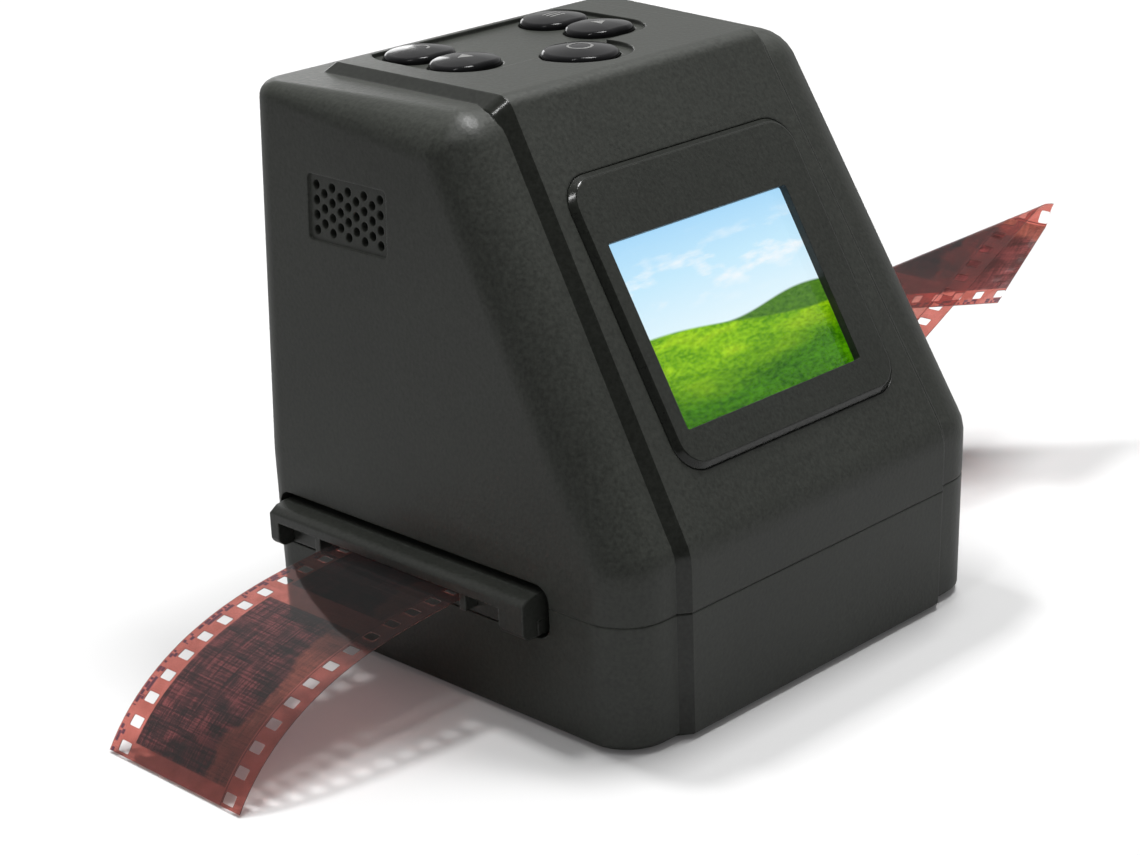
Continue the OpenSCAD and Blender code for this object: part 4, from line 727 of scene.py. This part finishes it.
# ---------------------------------------------------------------------------
# Film adapter. Two satin black halves, hinged off the machine, that clamp the
# film between them. The upper half carries a hood over each mouth.
# ---------------------------------------------------------------------------
# The adapter's edges are lifted more: partly rubbed edges, partly a painted highlight.
satin = plastic("adapter_satin", (0.029, 0.0310, 0.0270), 0.40, grain=1500.0, depth=0.35, edge=0.0005, rub_and_highlight=0.5,
                gloss=0.45)
for name, node in (("adapter_base", "adapter_lower"), ("adapter_cover", "adapter_upper")):
    piece = moulded_copy(node, name)
    if node == "adapter_upper":
        bpy.ops.object.mode_set(mode="EDIT")
        rim = lambda e: (e.is_manifold and e.calc_face_angle() > 0.3 and abs(middle(e).x) > 0.0510
                         and middle(e).z > 0.0243 and e.calc_length() > 0.0008
                         and min(abs(v.co.x) for v in e.verts) > 0.0505)
        pick(piece, "edges", rim)
        bpy.ops.mesh.bevel(offset=0.00045, segments=3, affect="EDGES", clamp_overlap=True)
        bpy.ops.object.mode_set(mode="OBJECT")
    smooth(piece, 30)
    piece.data.materials.append(satin)
    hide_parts(node)
    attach(piece, "adapter")

# ---------------------------------------------------------------------------
# Film. A strip of 35 mm colour negative with punched perforations every 4.75 mm.
# It lies flat in the adapter, droops to the left, and rises and rolls over its
# rear corner to the right. Orange base, dark frames, and a data track of bars.
# ---------------------------------------------------------------------------
film_w, film_t = 0.0350, 0.00015
film_y, film_z = 0.0095, 0.0211
pitch = 0.00475
tail_l, tail_x, curl_l, curl_x = 0.0572, 0.051462, 0.0799, 0.051462
strip_l = tail_l + tail_x + curl_x + curl_l
punch_w, punch_l, punch_in = 0.0028, 0.00198, 0.0020
phase = 0.0008

bpy.ops.object.select_all(action="DESELECT")
bpy.ops.mesh.primitive_plane_add(size=1, location=(pitch / 2, film_w / 4, 0))
film = bpy.context.object
film.name = "film_negative"
film.scale = (pitch, film_w / 2, 1)
bpy.ops.object.transform_apply(location=True, rotation=True, scale=True)
bpy.ops.object.mode_set(mode="EDIT")
bpy.ops.mesh.bisect(plane_co=(0, 0.0115, 0), plane_no=(0, 1, 0))
pick(film, "faces", lambda f: f.calc_center_median().y > 0.0115)
bpy.ops.mesh.inset(thickness=0.0009)
hole = [v for v in bmesh.from_edit_mesh(film.data).verts if v.select]
hole_y = film_w / 2 - punch_in - punch_w / 2
for v in hole:
    v.co.x = pitch / 2 + math.copysign(punch_l / 2, v.co.x - pitch / 2)
    v.co.y = hole_y + math.copysign(punch_w / 2, v.co.y - 0.0145)
bmesh.update_edit_mesh(film.data)
bpy.ops.mesh.bevel(offset=0.00045, segments=4, affect="VERTICES")
pick(film, "faces", lambda f: all(abs(v.co.x - pitch / 2) < punch_l / 2 + 0.00001
                                  and abs(v.co.y - hole_y) < punch_w / 2 + 0.00001 for v in f.verts))
bpy.ops.mesh.delete(type="FACE")
bpy.ops.object.mode_set(mode="OBJECT")
for kind, settings in (
        ("MIRROR", {"use_axis": (False, True, False), "use_clip": True, "merge_threshold": 0.00001}),
        ("ARRAY", {"count": 52, "use_relative_offset": True, "relative_offset_displace": (1, 0, 0),
                   "use_merge_vertices": True, "merge_threshold": 0.00001})):
    repeat = film.modifiers.new(kind.lower(), kind)
    for name, value in settings.items():
        setattr(repeat, name, value)
    bpy.ops.object.modifier_apply(modifier=repeat.name)
bpy.ops.object.mode_set(mode="EDIT")


def crease(at, along, clear_low=False, clear_high=False):
    """Adds a line of corners across the flat strip, or trims it there."""
    bpy.ops.mesh.select_all(action="SELECT")
    bpy.ops.mesh.bisect(plane_co=(*at, 0), plane_no=(*along, 0), clear_inner=clear_low, clear_outer=clear_high)


crease((phase, 0), (1, 0), clear_low=True)
crease((phase + strip_l, 0), (1, 0), clear_high=True)
for i in range(1, 29):
    crease((phase + i * 0.002, 0), (1, 0))
curl_start = phase + strip_l - curl_l
for i in range(0, 9):
    crease((curl_start + i * 0.001, 0), (1, 0))
skew, roll_start, roll_r, roll_turn = math.radians(37.6), 0.0289, 0.00248, math.radians(190)
roll_arc = roll_r * roll_turn
for i in range(0, 21):
    away = roll_arc * i / 20
    crease((curl_start + roll_start + away * math.sin(skew), film_w / 2 + away * math.cos(skew)),
           (math.sin(skew), math.cos(skew)))
bpy.ops.object.mode_set(mode="OBJECT")

chart = film.data.uv_layers.new(name="strip")
for loop in film.data.loops:
    at = film.data.vertices[loop.vertex_index].co
    chart.data[loop.index].uv = ((at.x - phase) / strip_l, at.y / strip_l + 0.5)

tail_steps = [Vector((-tail_x, film_z))]
for i in range(114):
    dip = math.radians(4 + 0.0168 * ((i + 0.5) * 0.5) ** 2)
    tail_steps.append(tail_steps[-1] - tail_l / 114 * Vector((math.cos(dip), math.sin(dip))))
curl_r, curl_rise = 0.018, math.radians(25.4)


def on_curl(u, v, e):
    """Place on the rising tail, u along it, v across it and e above it."""
    a = min(u / curl_r, curl_rise)
    run = max(u - curl_r * curl_rise, 0)
    return (curl_x + curl_r * math.sin(a) + run * math.cos(a) - e * math.sin(a), film_y + v,
            film_z + curl_r * (1 - math.cos(a)) + run * math.sin(a) + e * math.cos(a))


def lay(u, v):
    """Place of the flat strip's point u along and v across."""
    if u < tail_l:
        back = (tail_l - u) / tail_l * 114
        i = min(int(back), 113)
        at = tail_steps[i].lerp(tail_steps[i + 1], back - i)
        return at.x, film_y + v, at.y
    if u < strip_l - curl_l:
        return u - tail_l - tail_x, film_y + v, film_z
    u -= strip_l - curl_l
    p = (u - roll_start) * math.sin(skew) + (v - film_w / 2) * math.cos(skew)
    if p <= 0:
        return on_curl(u, v, 0)
    q = (u - roll_start) * math.cos(skew) - (v - film_w / 2) * math.sin(skew)
    a = min(p / roll_r, roll_turn)
    run = max(p - roll_arc, 0)
    f = roll_r * math.sin(a) + run * math.cos(a)
    g = roll_r * math.cos(a) - roll_r - run * math.sin(a)
    return on_curl(roll_start + q * math.cos(skew) + f * math.sin(skew),
                   film_w / 2 - q * math.sin(skew) + f * math.cos(skew), g)


for v in film.data.vertices:
    v.co = lay(v.co.x - phase, v.co.y)
only(film)
wall = film.modifiers.new("thickness", "SOLIDIFY")
wall.thickness = film_t
wall.offset = 0
bpy.ops.object.modifier_apply(modifier=wall.name)
smooth(film, 35)

stock, tree, surface = new_material("colour_negative")
surface.inputs["Transmission Weight"].default_value = 1.0
surface.inputs["IOR"].default_value = 1.45
surface.inputs["Sheen Weight"].default_value = 0.5
surface.inputs["Sheen Roughness"].default_value = 0.4
axes = add_node(tree, "SeparateXYZ", {0: add_node(tree, "UVMap", uv_map="strip").outputs[0]})
along = sums(tree, "MULTIPLY", axes.outputs[0], strip_l * 1000)
across = sums(tree, "MULTIPLY_ADD", axes.outputs[1], strip_l * 1000, -strip_l * 500)
frame_at = sums(tree, "MULTIPLY_ADD", along, 1 / 41, -0.5 / 41)
frame_no = sums(tree, "FLOOR", frame_at)
frame_in = sums(tree, "ABSOLUTE", sums(tree, "SUBTRACT", sums(tree, "FRACT", frame_at), 0.5))
in_length = add_node(tree, "MapRange", {0: frame_in, 1: 0.443, 2: 0.436, 3: 0.0, 4: 1.0}).outputs[0]
in_width = add_node(tree, "MapRange", {0: sums(tree, "ABSOLUTE", across), 1: 12.15, 2: 11.95, 3: 0.0,
                                       4: 1.0}).outputs[0]
exposed = sums(tree, "MULTIPLY", in_length, in_width)
spot = add_node(tree, "CombineXYZ", {0: along, 1: across, 2: sums(tree, "MULTIPLY", frame_no, 31.0)}).outputs[0]
forms = add_node(tree, "TexNoise", {"Vector": spot, "Scale": 0.16, "Detail": 5.0, "Roughness": 0.6})
threads = [add_node(tree, "TexNoise", {
    "Vector": add_node(tree, "Mapping", {"Vector": spot, "Scale": stretch}).outputs[0], "Scale": 1.0, "Detail": 2.0})
           for stretch in ((0.12, 2.6, 1.0), (2.6, 0.12, 1.0))]
weft = sums(tree, "MULTIPLY", threads[0].outputs["Fac"], threads[1].outputs["Fac"])
tones = sums(tree, "MULTIPLY_ADD", weft, 0.9, sums(tree, "MULTIPLY", forms.outputs["Fac"], 0.55))
sky_color = ramp(tree, tones, [(0.38, (0.016, 0.010, 0.010)), (0.50, (0.080, 0.022, 0.024)),
                               (0.62, (0.240, 0.056, 0.058))])
swell = sums(tree, "SINE", sums(tree, "MULTIPLY_ADD", along, 0.23, sums(tree, "MULTIPLY", frame_no, 1.7)))
ripple = sums(tree, "SINE", sums(tree, "MULTIPLY", along, 0.71))
ridge_line = sums(tree, "MULTIPLY_ADD", swell, 1.5, sums(tree, "MULTIPLY_ADD", ripple, 0.5, -7.6))
trees = sums(tree, "MULTIPLY_ADD", forms.outputs["Fac"], 5.0, sums(tree, "SUBTRACT", ridge_line, 2.5))
ground = add_node(tree, "MapRange", {0: sums(tree, "SUBTRACT", trees, across), 1: -0.4, 2: 0.9, 3: 0.0,
                                     4: 1.0}).outputs[0]
ground_color = ramp(tree, tones, [(0.36, (0.19, 0.056, 0.044)), (0.62, (0.38, 0.110, 0.076))])
scene_color = blend_colors(tree, ground, sky_color, ground_color)
# Frames from 150 to 213 mm along the strip are lightened toward a pale orange, in part a painted reflection on the
# rising tail.
lightened_frames = add_node(tree, "MapRange", {0: along, 1: 150.0, 2: 175.0, 3: 0.0, 4: 0.65}).outputs[0]
lightening_end = add_node(tree, "MapRange", {0: along, 1: 203.0, 2: 213.0, 3: 1.0, 4: 0.1}).outputs[0]
scene_color = blend_colors(tree, sums(tree, "MULTIPLY", lightened_frames, lightening_end), scene_color, (0.60, 0.21, 0.17, 1))
cloudy = add_node(tree, "TexNoise", {"Vector": spot, "Scale": 0.25, "Detail": 3.0})
base_color = ramp(tree, cloudy.outputs["Fac"], [(0.3, (0.50, 0.130, 0.100)), (0.7, (0.64, 0.185, 0.150))])
color = blend_colors(tree, exposed, base_color, scene_color)


def code_row(low, high, step, share, seed):
    """A row of printed bars between two heights, each bar a step long."""
    cell = add_node(tree, "CombineXYZ", {0: sums(tree, "FLOOR", sums(tree, "DIVIDE", along, step)), 1: seed})
    bar = add_node(tree, "TexWhiteNoise", {"Vector": cell.outputs[0]}, noise_dimensions="2D").outputs["Value"]
    inside = sums(tree, "MULTIPLY", sums(tree, "GREATER_THAN", across, low), sums(tree, "LESS_THAN", across, high))
    return sums(tree, "MULTIPLY", inside, sums(tree, "GREATER_THAN", bar, 1 - share))


groups = add_node(tree, "TexNoise", {"Vector": add_node(tree, "CombineXYZ", {0: along}).outputs[0], "Scale": 0.30,
                                     "Detail": 1.0})
ink = sums(tree, "MAXIMUM", code_row(16.55, 17.25, 0.42, 0.62, 3.0), code_row(15.75, 16.45, 0.84, 0.5, 8.0))
ink = sums(tree, "MULTIPLY", ink, sums(tree, "GREATER_THAN", groups.outputs["Fac"], 0.44))
color = blend_colors(tree, sums(tree, "MULTIPLY", ink, 0.85), color, (0.050, 0.014, 0.050, 1))
line_low = sums(tree, "LESS_THAN", sums(tree, "ABSOLUTE", sums(tree, "ADD", across, 12.45)), 0.10)
color = blend_colors(tree, sums(tree, "MULTIPLY", line_low, 0.75), color, (0.10, 0.02, 0.02, 1))
# Painted shadow colour: to diffuse rays the film gives a flat grey instead of its own colours, so its shadow on the
# paper is grey, not tinted.
shaded = add_node(tree, "LightPath").outputs["Is Diffuse Ray"]
color = blend_colors(tree, shaded, color, (0.22, 0.18, 0.18, 1))
tree.links.new(color, surface.inputs["Base Color"])
scuffs = add_node(tree, "TexNoise", {
    "Vector": add_node(tree, "Mapping", {"Vector": spot, "Scale": (0.05, 2.4, 1.0)}).outputs[0],
    "Scale": 1.5, "Detail": 5.0, "Roughness": 0.7})
rub = add_node(tree, "MapRange", {0: scuffs.outputs["Fac"], 1: 0.4, 2: 0.75, 3: 0.03, 4: 0.11})
tree.links.new(rub.outputs[0], surface.inputs["Roughness"])
relief = add_node(tree, "Bump", {"Strength": 0.1, "Distance": 0.00002, "Height": scuffs.outputs["Fac"]})
tree.links.new(relief.outputs[0], surface.inputs["Normal"])
film.data.materials.append(stock)
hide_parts("film_strip")
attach(film, "film")

# ---------------------------------------------------------------------------
# Light path below the film. A stamped stage plate, an opal diffuser, a white
# light box, and a board of twelve white lamps on its posts.
# ---------------------------------------------------------------------------
inner = plastic("inner_black", (0.022, 0.022, 0.022), 0.62, grain=1100.0, depth=0.3, edge=0.0002)
for node in ("film_stage", "upper_guide", "camera_bracket", "display_clamp"):
    dress(node, inner)


def cast_white(name, color, roughness, glow):
    made, tree, surface = new_material(name)
    mottle = add_node(tree, "TexNoise", {"Vector": add_node(tree, "TexCoord").outputs["Object"], "Scale": 180.0,
                                         "Detail": 4.0})
    tone = ramp(tree, mottle.outputs["Fac"], [(0.3, [c * 0.94 for c in color]), (0.7, color)])
    tree.links.new(tone, surface.inputs["Base Color"])
    dull = add_node(tree, "MapRange", {0: mottle.outputs["Fac"], 3: roughness - 0.05, 4: roughness + 0.08})
    tree.links.new(dull.outputs[0], surface.inputs["Roughness"])
    surface.inputs["Subsurface Weight"].default_value = glow
    surface.inputs["Subsurface Radius"].default_value = (0.001, 0.001, 0.001)
    return made


dress("diffuser", cast_white("opal_sheet", (0.86, 0.86, 0.83), 0.45, 0.3))
dress("light_box", cast_white("light_box_white", (0.80, 0.80, 0.77), 0.55, 0.0))

phosphor, tree, surface = new_material("lamp_phosphor")
place = add_node(tree, "TexCoord").outputs["Object"]
drop = add_node(tree, "TexVoronoi", {"Vector": place, "Scale": 900.0})
tree.links.new(ramp(tree, drop.outputs["Distance"], [(0.0, (0.82, 0.70, 0.28)), (0.6, (0.88, 0.84, 0.62))]),
               surface.inputs["Base Color"])
shiny = add_node(tree, "MapRange", {0: drop.outputs["Distance"], 3: 0.18, 4: 0.35})
tree.links.new(shiny.outputs[0], surface.inputs["Roughness"])
dress("lamps", phosphor)

# ---------------------------------------------------------------------------
# Circuit boards. Glass epoxy under green solder mask, with etched tracks that
# show through it and tinned pads. Flat amber ribbons and black chips join them.
# ---------------------------------------------------------------------------
green, tree, surface = new_material("solder_mask")
place = add_node(tree, "TexCoord").outputs["Object"]
tracks = add_node(tree, "TexBrick", {"Vector": place, "Scale": 260.0, "Mortar Size": 0.06, "Brick Width": 1.3,
                                     "Row Height": 0.42, "Color1": (0, 0, 0, 1), "Color2": (0, 0, 0, 1),
                                     "Mortar": (1, 1, 1, 1)})
pads = add_node(tree, "TexVoronoi", {"Vector": place, "Scale": 330.0, "Randomness": 0.35})
pad = sums(tree, "LESS_THAN", pads.outputs["Distance"], 0.20)
mask = blend_colors(tree, tracks.outputs["Color"], (0.012, 0.095, 0.035, 1), (0.025, 0.16, 0.055, 1))
tree.links.new(blend_colors(tree, pad, mask, (0.55, 0.54, 0.50, 1)), surface.inputs["Base Color"])
tree.links.new(pad, surface.inputs["Metallic"])
shiny = add_node(tree, "MapRange", {0: tracks.outputs["Color"], 3: 0.34, 4: 0.26})
tree.links.new(shiny.outputs[0], surface.inputs["Roughness"])
step = add_node(tree, "Bump", {"Strength": 0.3, "Distance": 0.00004, "Height": tracks.outputs["Color"]})
tree.links.new(step.outputs[0], surface.inputs["Normal"])
for node in ("main_board", "key_board", "sensor_board", "lamp_board"):
    dress(node, green)

epoxy = plastic("chip_epoxy", (0.018, 0.018, 0.020), 0.58, grain=2600.0, depth=0.15, edge=0.0001)
dress("main_chips", epoxy)

amber, tree, surface = new_material("ribbon_amber")
place = add_node(tree, "TexCoord").outputs["Object"]
wires = add_node(tree, "TexWave", {"Vector": place, "Scale": 320.0}, bands_direction="X", wave_profile="SIN")
tree.links.new(ramp(tree, wires.outputs["Fac"], [(0.35, (0.30, 0.12, 0.03)), (0.65, (0.56, 0.25, 0.06))]),
               surface.inputs["Base Color"])
shiny = add_node(tree, "MapRange", {0: wires.outputs["Fac"], 3: 0.30, 4: 0.42})
tree.links.new(shiny.outputs[0], surface.inputs["Roughness"])
ridge = add_node(tree, "Bump", {"Strength": 0.3, "Distance": 0.00005, "Height": wires.outputs["Fac"]})
tree.links.new(ridge.outputs[0], surface.inputs["Normal"])
for node in ("display_ribbon", "key_ribbon", "lamp_ribbon"):
    dress(node, amber)

# ---------------------------------------------------------------------------
# Key switches. Grey cases soldered to the key board, with brown plungers that
# the caps press down.
# ---------------------------------------------------------------------------
dress("key_switches", plastic("switch_grey", (0.52, 0.52, 0.49), 0.5, grain=2200.0, depth=0.15, edge=0.0001))
brown = plastic("plunger_brown", (0.06, 0.032, 0.018), 0.45, grain=2200.0, depth=0.15, edge=0.0001)
for key in ("back", "menu", "left", "right", "ok"):
    dress("plunger_" + key, brown)

# ---------------------------------------------------------------------------
# Sockets and fasteners. Folded tin-plated sheet around the card and data
# sockets, a black moulded jack, steel leaf springs, and small plated screws.
# ---------------------------------------------------------------------------
tin = metal("tin_plate", (0.60, 0.60, 0.60), 0.28, (80.0, 2200.0, 2200.0))
dress("card_socket", tin)
dress("usb_socket", tin)
dress("av_jack", plastic("jack_black", (0.02, 0.02, 0.02), 0.4, grain=2200.0, depth=0.12, edge=0.0002))
dress("detent_springs", metal("spring_steel", (0.62, 0.61, 0.59), 0.22, (1800.0, 80.0, 1800.0)))
dress("board_screws", zinc)

# ---------------------------------------------------------------------------
# Camera. A turned black anodised barrel with two coated lenses and a cyan
# infrared filter, above a bare image sensor under its cover glass.
# ---------------------------------------------------------------------------
anodised, tree, surface = new_material("black_anodised")
surface.inputs["Metallic"].default_value = 1.0
place = add_node(tree, "TexCoord").outputs["Object"]
turned = add_node(tree, "TexWave", {"Vector": place, "Scale": 900.0, "Distortion": 0.4}, bands_direction="Z")
tree.links.new(ramp(tree, turned.outputs["Fac"], [(0.2, (0.018, 0.018, 0.019)), (0.8, (0.034, 0.034, 0.036))]),
               surface.inputs["Base Color"])
dull = add_node(tree, "MapRange", {0: turned.outputs["Fac"], 3: 0.38, 4: 0.52})
tree.links.new(dull.outputs[0], surface.inputs["Roughness"])
ridge = add_node(tree, "Bump", {"Strength": 0.25, "Distance": 0.00003, "Height": turned.outputs["Fac"]})
tree.links.new(ridge.outputs[0], surface.inputs["Normal"])
dress("lens_barrel", anodised)


def optic(name, color, ior):
    made, tree, surface = new_material(name)
    surface.inputs["Transmission Weight"].default_value = 1.0
    surface.inputs["IOR"].default_value = ior
    dust = add_node(tree, "TexNoise", {"Vector": add_node(tree, "TexCoord").outputs["Object"], "Scale": 900.0,
                                       "Detail": 2.0})
    tree.links.new(ramp(tree, dust.outputs["Fac"], [(0.3, [c * 0.97 for c in color]), (0.7, color)]),
                   surface.inputs["Base Color"])
    haze = add_node(tree, "MapRange", {0: dust.outputs["Fac"], 1: 0.55, 2: 0.8, 3: 0.0, 4: 0.06})
    tree.links.new(haze.outputs[0], surface.inputs["Roughness"])
    return made


dress("lens_elements", optic("coated_glass", (0.86, 0.92, 0.97), 1.52))
dress("infrared_filter", optic("cyan_glass", (0.55, 0.86, 0.90), 1.52))

die, tree, surface = new_material("sensor_die")
place = add_node(tree, "TexCoord").outputs["Object"]
cells = add_node(tree, "TexChecker", {"Vector": place, "Scale": 5000.0, "Color1": (0.020, 0.030, 0.045, 1),
                                      "Color2": (0.035, 0.030, 0.050, 1)})
tree.links.new(cells.outputs["Color"], surface.inputs["Base Color"])
shiny = add_node(tree, "MapRange", {0: cells.outputs["Fac"], 3: 0.10, 4: 0.16})
tree.links.new(shiny.outputs[0], surface.inputs["Roughness"])
dress("image_sensor", die)
